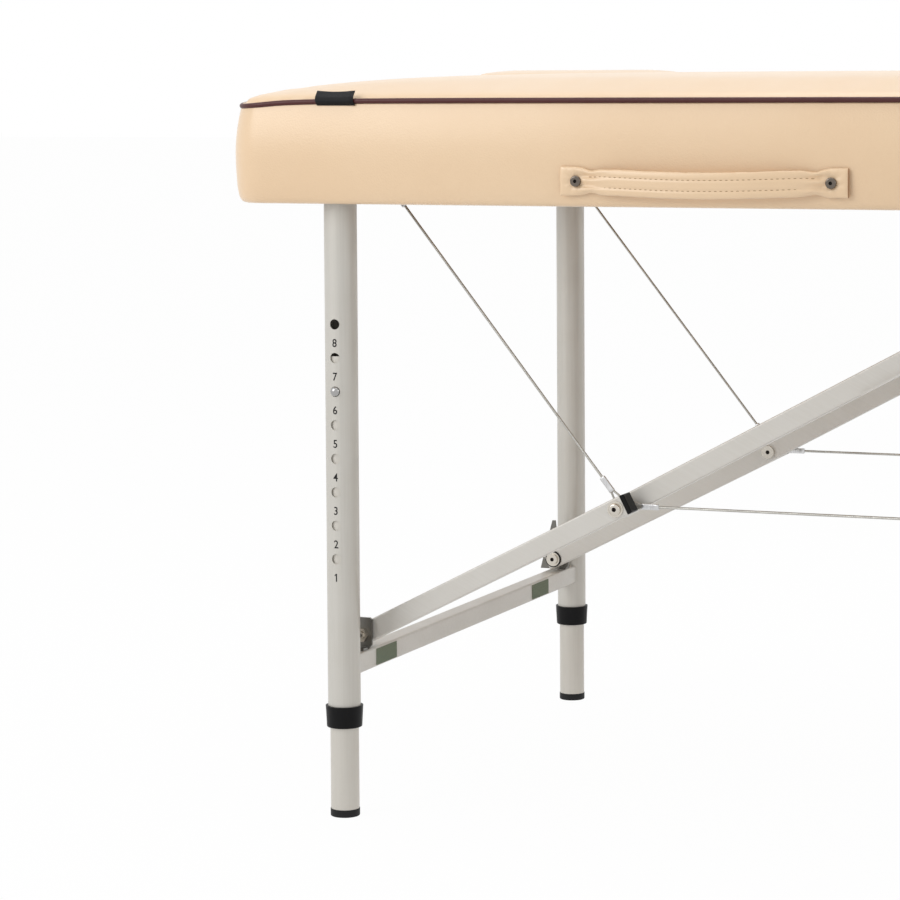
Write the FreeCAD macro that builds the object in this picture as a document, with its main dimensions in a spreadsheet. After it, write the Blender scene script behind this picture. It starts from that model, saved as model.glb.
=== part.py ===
"""Portable folding massage table on two pairs of telescoping aluminium legs.

Millimetres.  +X runs along the table, +Y across it and +Z up.  The origin is on the floor under
the middle of the table.  The left half, at -X, has the face hole.  Every piece is modelled once,
for the left half or its front corner, and copied across the table's two middle planes.
"""
import FreeCAD
import Part
import math
import os
import re

from FreeCAD import Vector

NODE_FOLDER = "parts"

DRIVING_SIZES = {
    # overall
    "table_length": 1954.0,
    "table_width": 712.0,
    "frame_bottom": 600.0,
    "pad_top": 722.0,
    "half_gap": 1.5,
    "corner_radius": 40.0,
    # upholstery
    "cover_thickness": 1.6,
    "cover_lip": 20.0,
    "seam_height": 96.4,
    "seam_step": 5.0,
    "top_edge_radius": 14.0,
    "foam_side": 5.2,
    "foam_clearance": 0.2,
    "piping_radius": 2.5,
    # wooden board and rails
    "rail_height": 70.0,
    "rail_thickness": 14.0,
    "board_thickness": 5.0,
    # face hole and its plug
    "hole_middle": 240.5,
    "hole_length": 228.0,
    "hole_width": 134.0,
    "hole_ledge": 16.0,
    "plug_clearance": 1.0,
    "plug_proud": 6.0,
    # legs
    "leg_inset": 107.0,
    "leg_spacing": 627.0,
    "tube_radius": 16.0,
    "tube_wall": 1.5,
    "tube_bottom": 91.0,
    "telescoping_gap": 0.5,
    "inner_top": 452.0,
    "hole_pitch": 32.66,
    "hole_radius": 5.0,
    "first_hole": 254.5,
    "hole_count": 8.0,
    "used_hole": 6.0,
    "collar_wall": 2.4,
    "collar_foot_wall": 1.3,
    "collar_height": 21.0,
    "collar_lip": 2.8,
    "collar_clearance": 0.4,
    "foot_lip": 0.4,
    "foot_height": 7.5,
    "spigot_length": 18.0,
    "spigot_clearance": 0.1,
    # crossbar, gusset plates and hook pads
    "bar_size": 20.0,
    "bar_wall": 1.5,
    "bar_middle": 147.5,
    "gusset_plane": 271.5,
    "gusset_thickness": 2.5,
    "gusset_back": 22.0,
    "gusset_top": 213.0,
    "gusset_flange": 14.0,
    "gusset_cheek": 10.0,
    "gusset_cheek_rise": 17.0,
    "pad_length": 48.0,
    "pad_height": 16.0,
    "pad_thickness": 1.0,
    "front_pad": 235.0,
    "rear_pad": 187.0,
    # brace links and their pivots
    "link_size": 20.0,
    "link_wall": 1.5,
    "lower_link_plane": 250.0,
    "upper_link_plane": 221.0,
    "link_tail": 9.0,
    "foot_pivot_offset": 2.0,
    "foot_pivot_height": 172.0,
    "knee_offset": 266.5,
    "knee_height": 308.0,
    "deck_pivot_offset": 838.0,
    "deck_pivot_height": 614.0,
    "folded_leg_height": 613.5,
    "folded_knee_height": 657.0,
    "lip_width": 5.5,
    "lip_start": 262.0,
    "pin_radius": 4.0,
    "sleeve_radius": 4.6,
    "running_clearance": 0.05,
    "head_radius": 5.9,
    "head_height": 3.4,
    "head_socket": 4.0,
    "socket_depth": 2.2,
    "nut_across": 13.0,
    "washer_radius": 7.9,
    "washer_thickness": 1.2,
    "plastic_washer_radius": 9.2,
    "cap_radius": 7.0,
    # brackets under the board
    "cheek_thickness": 3.0,
    "cheek_radius": 11.0,
    "knuckle_thickness": 14.0,
    "knuckle_radius": 9.5,
    "knuckle_drop": 13.0,
    "eye_offset": 18.0,
    "eye_height": 622.0,
    # cables
    "cable_radius": 1.4,
    "loop_radius": 6.5,
    "ferrule_length": 18.0,
    "ferrule_radius": 2.9,
    "ferrule_distance": 26.0,
    # handle
    "handle_middle": 490.5,
    "handle_length": 277.6,
    "handle_height": 28.0,
    "handle_level": 624.5,
    "handle_thickness": 3.6,
    "handle_tab": 28.0,
    "handle_screw_inset": 16.5,
    "handle_bow": 14.0,
    "screw_radius": 2.4,
    "screw_head_radius": 5.2,
    "screw_head_height": 2.5,
    # centre hinges
    "hinge_drop": 10.0,
    "hinge_place": 150.0,
    "leaf_length": 60.0,
    "leaf_width": 54.0,
    "leaf_thickness": 2.5,
    "barrel_radius": 5.0,
    "barrel_gap": 0.3,
    "hinge_pin_radius": 2.5,
    # side tag
    "tag_offset": 32.0,
    "tag_width": 40.0,
    "tag_length": 15.0,
    "tag_thickness": 0.8,
}


def worked_out_places(size):
    """Work out the places that follow from the driving sizes.

    The leg hinge is placed so that, with the leg folded flat, both brace links reach from their
    pivots to one knee: the distances are the same standing and folded.
    """
    foot = Vector(size["foot_pivot_offset"], 0, size["foot_pivot_height"])
    knee = Vector(size["knee_offset"], 0, size["knee_height"])
    deck = Vector(size["deck_pivot_offset"], 0, size["deck_pivot_height"])
    lower, upper = (knee - foot), (deck - knee)
    folded_foot_height = size["folded_leg_height"] + foot.x
    folded_knee_x = deck.x - math.sqrt(upper.Length ** 2 - (size["folded_knee_height"] - deck.z) ** 2)
    folded_rise = size["folded_knee_height"] - folded_foot_height
    folded_foot_x = folded_knee_x + math.sqrt(lower.Length ** 2 - folded_rise ** 2)
    reach = folded_foot_x + foot.z
    half_width = size["table_width"] / 2
    return {
        "half_length": size["table_length"] / 2,
        "half_width": half_width,
        "leg_x": size["table_length"] / 2 - size["leg_inset"],
        "leg_y": size["leg_spacing"] / 2,
        "hinge_offset": (reach - size["folded_leg_height"]) / 2,
        "hinge_height": (reach + size["folded_leg_height"]) / 2,
        "lower_link_length": lower.Length,
        "upper_link_length": upper.Length,
        "lower_link_slope": math.degrees(math.atan2(lower.z, lower.x)),
        "upper_link_slope": math.degrees(math.atan2(upper.z, upper.x)),
        "inner_radius": size["tube_radius"] - size["tube_wall"] - size["telescoping_gap"],
        "centre": size["half_gap"] / 2,
        "wrap": size["cover_thickness"] + size["foam_side"] + size["foam_clearance"],
        "lining": size["cover_thickness"] + size["foam_clearance"],
        "rail_bottom": size["frame_bottom"] + size["cover_thickness"] + size["foam_clearance"],
    }


def new_sheet(name, values):
    """Write named values into a spreadsheet, one row each, and give each cell its alias."""
    sheet = doc.addObject("Spreadsheet::Sheet", name)
    for row, (alias, number) in enumerate(values.items(), start=1):
        sheet.set(f"A{row}", alias)
        sheet.set(f"B{row}", str(number))
        sheet.setAlias(f"B{row}", alias)
    return sheet


doc = FreeCAD.newDocument("MassageTable")
SIZE = dict(DRIVING_SIZES)
PLACE = worked_out_places(SIZE)
PLACE["rail_top"] = PLACE["rail_bottom"] + SIZE["rail_height"]
PLACE["board_top"] = PLACE["rail_top"] + SIZE["board_thickness"]
PLACE["seam_level"] = SIZE["frame_bottom"] + SIZE["seam_height"]
PLACE["hole_x"] = SIZE["hole_middle"] - PLACE["half_length"]
PLACE["tube_top"] = PLACE["hinge_height"] - SIZE["knuckle_drop"]
PLACE["hinge_level"] = SIZE["frame_bottom"] - SIZE["hinge_drop"]
PLACE["button_height"] = SIZE["first_hole"] + (SIZE["used_hole"] - 1) * SIZE["hole_pitch"]
new_sheet("Sizes", SIZE)
new_sheet("Places", PLACE)
doc.recompute()

VALUE = {**SIZE, **PLACE}
ACROSS = Vector(0, 1, 0)
ALONG = Vector(1, 0, 0)
UP = Vector(0, 0, 1)
TURNED = {
    "x": FreeCAD.Rotation(ACROSS, 90),
    "y": FreeCAD.Rotation(ALONG, -90),
    "z": FreeCAD.Rotation(),
}
MIDDLE = "0 * centre"
NODES = {}


# ---------------------------------------------------------------- drawing helpers

def linked(expression):
    """Point each named value in an expression at the sheet that holds it."""
    def owner(match):
        word = match.group(0)
        if word in SIZE:
            return f"Sizes.{word}"
        return f"Places.{word}" if word in PLACE else word
    return re.sub(r"[a-z][a-z_]+", owner, expression)


def bind(item, prop, expression):
    """Bind a property to an expression in the sheets' names."""
    item.setExpression(prop, linked(expression))


def box(label, x, y, z):
    """Make a box from a pair of expressions, its low and high face, along each axis."""
    item = doc.addObject("Part::Box", label)
    for prop, axis, (low, high) in zip(("Length", "Width", "Height"), "xyz", (x, y, z)):
        bind(item, prop, f"({high}) - ({low})")
        bind(item, f"Placement.Base.{axis}", low)
    return item


def rod(label, axis, radius, ends, middle):
    """Make a cylinder along an axis, between two expressions, at a middle in the other two axes."""
    item = doc.addObject("Part::Cylinder", label)
    item.Placement = FreeCAD.Placement(Vector(), TURNED[axis])
    bind(item, "Radius", radius)
    bind(item, "Height", f"({ends[1]}) - ({ends[0]})")
    base = dict(zip([a for a in "xyz" if a != axis], middle))
    base[axis] = ends[0]
    for name, expression in base.items():
        bind(item, f"Placement.Base.{name}", expression)
    return item


def strut(label, radius, start, end):
    """Make a cylinder of a named radius from one point to another."""
    item = doc.addObject("Part::Cylinder", label)
    bind(item, "Radius", radius)
    item.Height = (end - start).Length
    item.Placement = FreeCAD.Placement(start, FreeCAD.Rotation(UP, end - start))
    return item


def hex_key(label, across, axis_ends, middle):
    """Make a six-sided bar along Y, as wide across its flats as an expression."""
    item = doc.addObject("Part::Prism", label)
    item.Polygon = 6
    item.Placement = FreeCAD.Placement(Vector(), TURNED["y"])
    bind(item, "Circumradius", f"({across}) / sqrt(3)")
    bind(item, "Height", f"({axis_ends[1]}) - ({axis_ends[0]})")
    for name, expression in zip("xyz", (middle[0], axis_ends[0], middle[1])):
        bind(item, f"Placement.Base.{name}", expression)
    return item


def ring(label, radius, wire_radius, middle):
    """Make a torus about the Y direction."""
    item = doc.addObject("Part::Torus", label)
    bind(item, "Radius1", radius)
    bind(item, "Radius2", wire_radius)
    item.Placement = FreeCAD.Placement(middle, TURNED["y"])
    return item


def cut(label, base, *tools):
    """Take one or more tools away from a base."""
    tool = tools[0] if len(tools) == 1 else fuse(f"{label}_tools", *tools)
    item = doc.addObject("Part::Cut", label)
    item.Base = base
    item.Tool = tool
    return item


def fuse(label, *pieces):
    """Join pieces into one solid."""
    item = doc.addObject("Part::MultiFuse", label)
    item.Shapes = list(pieces)
    item.Refine = True
    return item


def common(label, first, second):
    """Keep what two pieces share."""
    item = doc.addObject("Part::Common", label)
    item.Base = first
    item.Tool = second
    return item


def mirror(label, source, normal):
    """Copy a piece across a middle plane of the table."""
    item = doc.addObject("Part::Mirroring", label)
    item.Source = source
    item.Normal = normal
    item.Base = Vector()
    return item


def group(label, *pieces):
    """Hold separate solids in one object."""
    item = doc.addObject("Part::Compound", label)
    item.Links = list(pieces)
    return item


def rounded(label, base, radius, chosen):
    """Round the edges of a base that a test on their box chooses."""
    doc.recompute()
    item = doc.addObject("Part::Fillet", label)
    item.Base = base
    edges = enumerate(base.Shape.Edges, start=1)
    item.Edges = [(number, radius, radius) for number, edge in edges if chosen(edge.BoundBox)]
    return item


def plate(label, outline, near, thickness):
    """Pad a side-view outline, a closed list of (x, z), towards the front from the plane y = near."""
    body = doc.addObject("PartDesign::Body", label)
    sketch = body.newObject("Sketcher::SketchObject", f"{label}_outline")
    side = [f for f in body.Origin.OriginFeatures if f.Role == "XZ_Plane"][0]
    sketch.AttachmentSupport = [(side, "")]
    sketch.MapMode = "FlatFace"
    points = [Vector(x, z, 0) for x, z in outline]
    for start, end in zip(points, points[1:] + points[:1]):
        sketch.addGeometry(Part.LineSegment(start, end))
    pad = body.newObject("PartDesign::Pad", f"{label}_pad")
    pad.Profile = sketch
    bind(pad, "Length", thickness)
    bind(body, "Placement.Base.y", f"0 - ({near})")
    return body


def both_sides(label, piece):
    """Group a front piece with its copy at the rear."""
    return group(label, piece, mirror(f"{label}_rear", piece, ACROSS))


def node(name, item):
    """Record an object as one named node of the table."""
    item.Label = name
    NODES[name] = item


def both_halves(name, item):
    """Record a left piece, and its copy across the middle of the table as the right one."""
    node(f"left_{name}", item)
    node(f"right_{name}", mirror(f"right_{name}", item, ALONG))


# ---------------------------------------------------------------- upholstered half

def pad_prism(label, inset, middle_inset, low, high, top_radius=0.0):
    """Make a block of the half table, inset from its outline, with its two end corners rounded.

    The face at the middle of the table has an inset of its own.
    """
    x = (f"{inset} - half_length", f"0 - centre - ({middle_inset})")
    y = (f"{inset} - half_width", f"half_width - ({inset})")
    block = box(f"{label}_block", x, y, (low, high))
    doc.recompute()
    gap = block.Placement.Base.x + VALUE["half_length"]
    radius = max(VALUE["corner_radius"] - gap, 1.0)
    end = block.Placement.Base.x
    corners = rounded(f"{label}_corners", block, radius,
                      lambda b: b.ZLength > 1 and b.XLength < 0.01 and abs(b.XMin - end) < 0.1)
    if not top_radius:
        return corners
    doc.recompute()
    limits = corners.Shape.BoundBox
    return rounded(label, corners, top_radius,
                   lambda b: abs(b.ZMin - limits.ZMax) < 0.01 and b.XMin < limits.XMax - 0.1)


def face_hole(label, shrink, low, high):
    """Make the long round-ended column of the face hole, smaller all round by an expression."""
    half = "(hole_length - hole_width) / 2"
    radius = f"hole_width / 2 - ({shrink})"
    ends = [
        rod(f"{label}_end{side}", "z", radius, (low, high), (f"hole_x {side} {half}", MIDDLE))
        for side in ("-", "+")
    ]
    middle = box(f"{label}_middle", (f"hole_x - {half}", f"hole_x + {half}"),
                 (f"0 - ({radius})", radius), (low, high))
    return fuse(label, middle, *ends)


def frame_rails():
    """Four wooden rails of the half frame, with the end corners rounded as one."""
    outline = pad_prism("rail_outline", "wrap", "lining", "rail_bottom", "rail_top")
    x = ("wrap - half_length", "0 - centre - lining")
    inner_y = "half_width - wrap - rail_thickness"
    height = ("rail_bottom", "rail_top")
    side = box("side_rail_block", x, ("wrap - half_width", f"0 - ({inner_y})"), height)
    front = common("front_rail", side, outline)
    screw_holes = handle_screw_rods("rail_screw_hole", "screw_radius")
    rails = [cut("front_rail_drilled", front, *screw_holes), mirror("rear_rail", front, ACROSS)]
    between = (f"0 - ({inner_y})", inner_y)
    for place, low, high in (
        ("end", x[0], f"{x[0]} + rail_thickness"),
        ("centre", f"{x[1]} - rail_thickness", x[1]),
    ):
        bar = box(f"{place}_rail_block", (low, high), between, height)
        rails.append(common(f"{place}_rail", bar, outline))
    both_halves("frame_rails", group("frame_rails", *rails))


def deck_board():
    """Plywood board on the rails, with the ledge that carries the face plug."""
    board = pad_prism("board", "wrap", "lining", "rail_top", "board_top")
    hole = face_hole("board_hole", "hole_ledge", "rail_top - 1", "board_top + 1")
    node("left_deck_board", cut("left_board", board, hole))
    node("right_deck_board", mirror("right_board", board, ALONG))


def foam_block():
    """Foam over the board, with a thin skirt of foam down the outside of the rails."""
    upper = pad_prism("foam_upper", "seam_step + lining", "lining", "board_top", "pad_top - lining",
                      VALUE["top_edge_radius"] - VALUE["cover_thickness"])
    lower = pad_prism("foam_lower", "lining", "lining", "rail_bottom", "seam_level - lining")
    core = pad_prism("foam_core", "wrap", MIDDLE, "rail_bottom - 1", "board_top")
    block = cut("foam", fuse("foam_whole", upper, lower), core)
    hole = face_hole("foam_hole", "0 - cover_thickness - foam_clearance", "rail_top - 1", "pad_top + 1")
    screws = handle_screw_rods("foam_screw_hole", "screw_radius")
    node("left_foam_pad", cut("left_foam", block, hole, *screws))
    node("right_foam_pad", mirror("right_foam", cut("foam_plain", block, *screws), ALONG))


def cover_shell():
    """Leather cover: a shell over the foam, turned in under the rails, that lines the face hole."""
    outer = fuse(
        "cover_outer",
        pad_prism("cover_upper", "seam_step", MIDDLE, "seam_level - cover_thickness", "pad_top",
                  VALUE["top_edge_radius"]),
        pad_prism("cover_lower", MIDDLE, MIDDLE, "frame_bottom", "seam_level"),
    )
    wall = "cover_thickness"
    inner = fuse(
        "cover_inner",
        pad_prism("cavity_upper", f"seam_step + {wall}", wall, "seam_level - 3 * cover_thickness",
                  f"pad_top - {wall}", VALUE["top_edge_radius"] - VALUE["cover_thickness"]),
        pad_prism("cavity_lower", wall, wall, f"frame_bottom + {wall}", f"seam_level - {wall}"),
    )
    opening = pad_prism("cover_opening", "cover_lip", "cover_lip", "frame_bottom - 1", "frame_bottom + 5")
    screws = handle_screw_rods("cover_screw_hole", "screw_radius")
    shell = cut("cover", outer, inner, opening, *screws)
    lining_height = ("board_top", "pad_top - 1")
    lining = cut(
        "hole_lining",
        face_hole("lining_outer", f"0 - {wall}", *lining_height),
        face_hole("lining_inner", MIDDLE, "board_top - 1", "pad_top + 1"),
    )
    hole = face_hole("cover_hole", MIDDLE, "board_top", "pad_top + 1")
    node("left_cover", fuse("left_cover_sewn", cut("left_cover_cut", shell, hole), lining))
    node("right_cover", mirror("right_cover_shell", shell, ALONG))


def piping():
    """Cord of piping that lies on the step of the cover, round the half pad's three outer sides."""
    bead = VALUE["piping_radius"]
    out = VALUE["seam_step"] - bead - 0.1
    level = VALUE["seam_level"] + bead + 0.1
    end_x, side_y = out - PLACE["half_length"], PLACE["half_width"] - out
    turn = VALUE["corner_radius"] - out
    finish = -VALUE["centre"]
    slant = turn * math.cos(math.radians(45))
    corners = []
    for side in (-1, 1):
        y = side * side_y
        middle = Vector(end_x + turn - slant, y - side * (turn - slant), level)
        corners.append((Vector(end_x + turn, y, level), middle, Vector(end_x, y - side * turn, level)))
    front, rear = corners
    path = Part.Wire([
        Part.LineSegment(Vector(finish, -side_y, level), front[0]).toShape(),
        Part.Arc(*front).toShape(),
        Part.LineSegment(front[2], rear[2]).toShape(),
        Part.Arc(rear[2], rear[1], rear[0]).toShape(),
        Part.LineSegment(rear[0], Vector(finish, side_y, level)).toShape(),
    ])
    section = Part.Wire(Part.makeCircle(bead, Vector(finish, -side_y, level), ALONG))
    item = doc.addObject("Part::Feature", "piping")
    item.Shape = path.makePipeShell([section], True, False)
    both_halves("piping", item)


def face_plug():
    """Cushion that fills the face hole, proud of the pad, resting on the board's ledge."""
    column = face_hole("plug_column", "plug_clearance", "board_top + foam_clearance",
                       "pad_top + plug_proud")
    doc.recompute()
    top = column.Shape.BoundBox.ZMax
    node("face_hole_plug", rounded("plug", column, 5.0, lambda b: abs(b.ZMin - top) < 0.01))


def side_tag():
    """Folded blank ribbon tag caught in the seam near the front corner."""
    x = ("tag_offset - leg_x - tag_width", "tag_offset - leg_x")
    tip = "seam_step - half_width - tag_thickness"
    node("side_tag", box("tag", x, (f"{tip} - 0.2", f"{tip} + tag_thickness - 0.2"),
                         ("seam_level + 2 * piping_radius + 0.4",
                          "seam_level + 2 * piping_radius + tag_length * 0.6")))


# ---------------------------------------------------------------- carrying handle

def handle_screw_rods(label, radius):
    """Make a rod through the handle's tab, the upholstery and the rail, at each end of the handle."""
    place = "handle_middle - half_length"
    reach = "(handle_length / 2 - handle_screw_inset)"
    depth = ("0 - half_width - 9", "foam_side + cover_thickness + rail_thickness + 1 - half_width")
    return [
        rod(f"{label}_{name}", "y", radius, depth, (f"{place} {side} {reach}", "handle_level"))
        for name, side in (("outer", "-"), ("inner", "+"))
    ]


def handle():
    """Leather strap with a flat tab at each end and a bowed grip between them."""
    middle = VALUE["handle_middle"] - PLACE["half_length"]
    half = VALUE["handle_length"] / 2
    tab = half - VALUE["handle_tab"]
    face, thick, bow = PLACE["half_width"] + 0.1, VALUE["handle_thickness"], VALUE["handle_bow"]
    low = VALUE["handle_level"] - VALUE["handle_height"] / 2

    def edge(depth):
        """One face of the strap, a flat run, the bow and a flat run, at a depth off the cover."""
        stations = ((-half, depth), (-tab, depth), (0, depth + bow), (tab, depth), (half, depth))
        points = [Vector(middle + x, -face - y, low) for x, y in stations]
        bowed = Part.Arc(points[1], points[2], points[3])
        return points, [Part.LineSegment(*points[:2]), bowed, Part.LineSegment(*points[3:])]

    near, near_edges = edge(0.0)
    far, far_edges = edge(thick)
    closing = [Part.LineSegment(near[0], far[0]), Part.LineSegment(near[-1], far[-1])]
    outline = Part.Wire(Part.__sortEdges__([e.toShape() for e in near_edges + far_edges + closing]))
    item = doc.addObject("Part::Feature", "handle_strap")
    item.Shape = Part.Face(outline).extrude(Vector(0, 0, VALUE["handle_height"]))
    both_halves("handle", cut("handle", item, *handle_screw_rods("handle_hole", "screw_radius")))
    skin = "0 - half_width - handle_thickness"
    screws = []
    for number, shank in enumerate(handle_screw_rods("handle_screw", "screw_radius - running_clearance")):
        bind(shank, "Placement.Base.y", f"{skin} - 0.4")
        bind(shank, "Height", "handle_thickness + foam_side + cover_thickness + rail_thickness - 1")
        place = "handle_middle - half_length"
        side = "-+"[number]
        middle = (f"{place} {side} (handle_length / 2 - handle_screw_inset)", "handle_level")
        tip = f"{skin} - 0.2 - screw_head_height"
        head = domed_head(f"handle_screw_head{number}", "screw_head_radius", (tip, f"{skin} - 0.2"), middle)
        socket = hex_key(f"handle_screw_socket{number}", "head_socket - 1", (f"{tip} - 1", f"{tip} + 1.4"),
                         middle)
        whole = fuse(f"handle_screw_whole{number}", shank, head)
        screws.append(cut(f"handle_screw{number}", whole, socket))
    both_halves("handle_screws", group("handle_screws", *screws))


# ---------------------------------------------------------------- brackets and pivots under the board

def domed_head(label, radius, ends, middle):
    """Make a low screw head that faces the front, with its rim rounded."""
    head = rod(f"{label}_blank", "y", radius, ends, middle)
    doc.recompute()
    limits = head.Shape.BoundBox
    return rounded(label, head, 0.6 * limits.YLength,
                   lambda b: abs(b.YMin - limits.YMin) < 0.01 and b.YLength < 0.01)


def hanging_cheek(label, x, z, near, thickness, radius):
    """Make a plate that hangs from the board and ends in a round eye about a pivot."""
    y = (f"0 - ({near}) - ({thickness})", f"0 - ({near})")
    eye = rod(f"{label}_eye", "y", radius, y, (x, z))
    blade = box(f"{label}_blade", (f"{x} - {radius}", f"{x} + {radius}"), y, (z, "rail_top"))
    return fuse(label, eye, blade)


def u_bracket(label, x, z, near, width):
    """Make a bracket with a cheek each side of a gap, joined by a web under the board."""
    wall = "cheek_thickness"
    cheeks = [
        hanging_cheek(f"{label}_near", x, z, f"{near} - {wall}", wall, "cheek_radius"),
        hanging_cheek(f"{label}_far", x, z, f"{near} + {width}", wall, "cheek_radius"),
    ]
    web = box(f"{label}_web", (f"{x} - cheek_radius - 12", f"{x} + cheek_radius"),
              (f"0 - ({near}) - {width} - {wall}", f"{wall} - ({near})"),
              (f"rail_top - {wall}", "rail_top"))
    hole = rod(f"{label}_bore", "y", "pin_radius", (f"0 - ({near}) - {width} - 9", f"9 - ({near})"), (x, z))
    return cut(label, fuse(f"{label}_whole", web, *cheeks), hole)


def deck_brackets():
    """Leg hinge brackets, brace brackets and the pegs that hold the upper ends of the cables."""
    leg_near = "leg_y - knuckle_thickness / 2 - 0.5"
    leg = u_bracket("leg_bracket", "hinge_offset - leg_x", "hinge_height", leg_near,
                    "(knuckle_thickness + 1)")
    link_near = "upper_link_plane - 1"
    link = u_bracket("brace_bracket", "deck_pivot_offset - leg_x", "deck_pivot_height", link_near,
                     "(link_size + 2)")
    eye_x, plane = "eye_offset - leg_x", "lower_link_plane"
    blade = hanging_cheek("cable_blade", eye_x, "eye_height", plane, "cheek_thickness", "9")
    peg = rod("cable_peg", "y", "pin_radius", (f"0 - {plane}", f"8 - {plane}"), (eye_x, "eye_height"))
    cap = rod("cable_peg_cap", "y", "cap_radius", (f"8 - {plane}", f"9.5 - {plane}"), (eye_x, "eye_height"))
    anchor = fuse("cable_anchor", blade, peg, cap)
    pieces = [leg, link, anchor]
    rear = [mirror(f"{p.Name}_rear", p, ACROSS) for p in pieces]
    both_halves("deck_brackets", group("deck_brackets", *pieces, *rear))
    bolts = [
        headed_pin("leg_pivot", "hinge_offset - leg_x", "hinge_height", leg_near,
                   "(knuckle_thickness + 1)"),
        headed_pin("brace_pivot", "deck_pivot_offset - leg_x", "deck_pivot_height", link_near,
                   "(link_size + 2)"),
    ]
    rear = [mirror(f"{p.Name}_rear", p, ACROSS) for p in bolts]
    both_halves("pivot_bolts", group("pivot_bolts", *bolts, *rear))


def headed_pin(label, x, z, near, width):
    """Make a pivot bolt through a bracket, with a low head on the inner cheek."""
    wall = "cheek_thickness"
    shank = rod(f"{label}_shank", "y", "pin_radius",
                (f"0 - ({near}) - {width} - {wall} - 1", f"{wall} - ({near})"), (x, z))
    head = rod(f"{label}_head", "y", "head_radius",
               (f"{wall} - ({near})", f"{wall} + 2.5 - ({near})"), (x, z))
    return fuse(label, shank, head)


# ---------------------------------------------------------------- centre hinges

def centre_hinges():
    """Two butt hinges under the middle of the table: leaves on each half, and the pins between."""
    level, half = "hinge_level", "leaf_length / 2"
    gap, radius = "barrel_gap", "barrel_radius"
    third = f"(leaf_length / 3 - {gap})"
    leaves = {"left": [], "right": []}
    for place in ("0 - hinge_place", "hinge_place"):
        tag = len(leaves["left"])
        start = f"{place} - {half}"
        for half_name, knuckles in (("left", (0, 2)), ("right", (1,))):
            sign = -1 if half_name == "left" else 1
            x = ("0 - centre - leaf_width", "0 - centre - 1") if sign < 0 else \
                ("centre + 1", "centre + leaf_width")
            neck = (f"0 - {radius}", "0 - 1.75") if sign < 0 else ("1.75", radius)
            pieces = [box(f"{half_name}_leaf_plate{tag}", x, (start, f"{place} + {half}"),
                          ("frame_bottom - leaf_thickness", "frame_bottom"))]
            for number in knuckles:
                low = f"{start} + {number} * leaf_length / 3"
                span = (f"{low} + {gap}", f"{low} + {third}")
                name = f"{half_name}_barrel{tag}{number}"
                pieces.append(rod(name, "y", radius, span, (MIDDLE, level)))
                pieces.append(box(f"{half_name}_neck{tag}{number}", neck, span,
                                  (level, "frame_bottom - leaf_thickness / 2")))
            bore = rod(f"{half_name}_bore{tag}", "y", "hinge_pin_radius + running_clearance",
                       (f"{start} - 1", f"{place} + {half} + 1"), (MIDDLE, level))
            whole = fuse(f"{half_name}_leaf_whole{tag}", *pieces)
            leaves[half_name].append(cut(f"{half_name}_leaf{tag}", whole, bore))
    node("left_hinge_leaves", group("left_leaves", *leaves["left"]))
    node("right_hinge_leaves", group("right_leaves", *leaves["right"]))
    pin = rod("hinge_pin", "y", "hinge_pin_radius",
              (f"0 - hinge_place - {half} - 1.5", f"{half} + 1.5 - hinge_place"), (MIDDLE, level))
    node("centre_hinge_pins", both_sides("hinge_pins", pin))


# ---------------------------------------------------------------- leg frames

def outer_leg():
    """Outer leg tube with its row of height holes and its welded hinge knuckle."""
    x, y = "0 - leg_x", "0 - leg_y"
    height = ("tube_bottom", "tube_top")
    skin = rod("leg_skin", "z", "tube_radius", height, (x, y))
    bore = rod("leg_bore", "z", "tube_radius - tube_wall", ("tube_bottom - 1", "tube_top - 3"), (x, y))
    holes = [
        rod(f"height_hole{number}", "y", "hole_radius", ("0 - leg_y - tube_radius - 1", y),
            (x, f"first_hole + {number} * hole_pitch"))
        for number in range(int(SIZE["hole_count"]))
    ]
    knuckle_y = ("0 - leg_y - knuckle_thickness / 2", "knuckle_thickness / 2 - leg_y")
    hinge_x = "hinge_offset - leg_x"
    knuckle = fuse(
        "knuckle",
        rod("knuckle_eye", "y", "knuckle_radius", knuckle_y, (hinge_x, "hinge_height")),
        box("knuckle_block", (f"{x} - 8", hinge_x), knuckle_y,
            ("tube_top - 1", "hinge_height + knuckle_radius - 1")),
        box("knuckle_heel", (x, f"{hinge_x} + knuckle_radius"), knuckle_y,
            ("tube_top - 1", "hinge_height")),
    )
    pivot = rod("knuckle_bore", "y", "pin_radius + running_clearance",
                ("0 - leg_y - knuckle_thickness", "knuckle_thickness - leg_y"), (hinge_x, "hinge_height"))
    leg = cut("outer_leg", fuse("outer_leg_whole", skin, knuckle), bore, pivot, *holes)
    both_halves("outer_legs", both_sides("outer_legs", leg))


def crossbar():
    """Square tube between the two legs, coped to their round walls."""
    x = ("0 - leg_x - bar_size / 2", "bar_size / 2 - leg_x")
    z = ("bar_middle - bar_size / 2", "bar_middle + bar_size / 2")
    inner_x = ("0 - leg_x - bar_size / 2 + bar_wall", "bar_size / 2 - leg_x - bar_wall")
    inner_z = ("bar_middle - bar_size / 2 + bar_wall", "bar_middle + bar_size / 2 - bar_wall")
    solid = box("bar_solid", x, ("0 - leg_y", "leg_y"), z)
    edge_radius = 2.2
    outer = rounded("bar_rounded", solid, edge_radius, lambda b: b.YLength > 1)
    bore = box("bar_bore", inner_x, ("0 - leg_y - 1", "leg_y + 1"), inner_z)
    copes = [
        rod(f"bar_cope{side}", "z", "tube_radius", ("bar_middle - bar_size", "bar_middle + bar_size"),
            ("0 - leg_x", y))
        for side, y in (("front", "0 - leg_y"), ("rear", "leg_y"))
    ]
    both_halves("crossbar", cut("crossbar", outer, bore, *copes))


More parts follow.
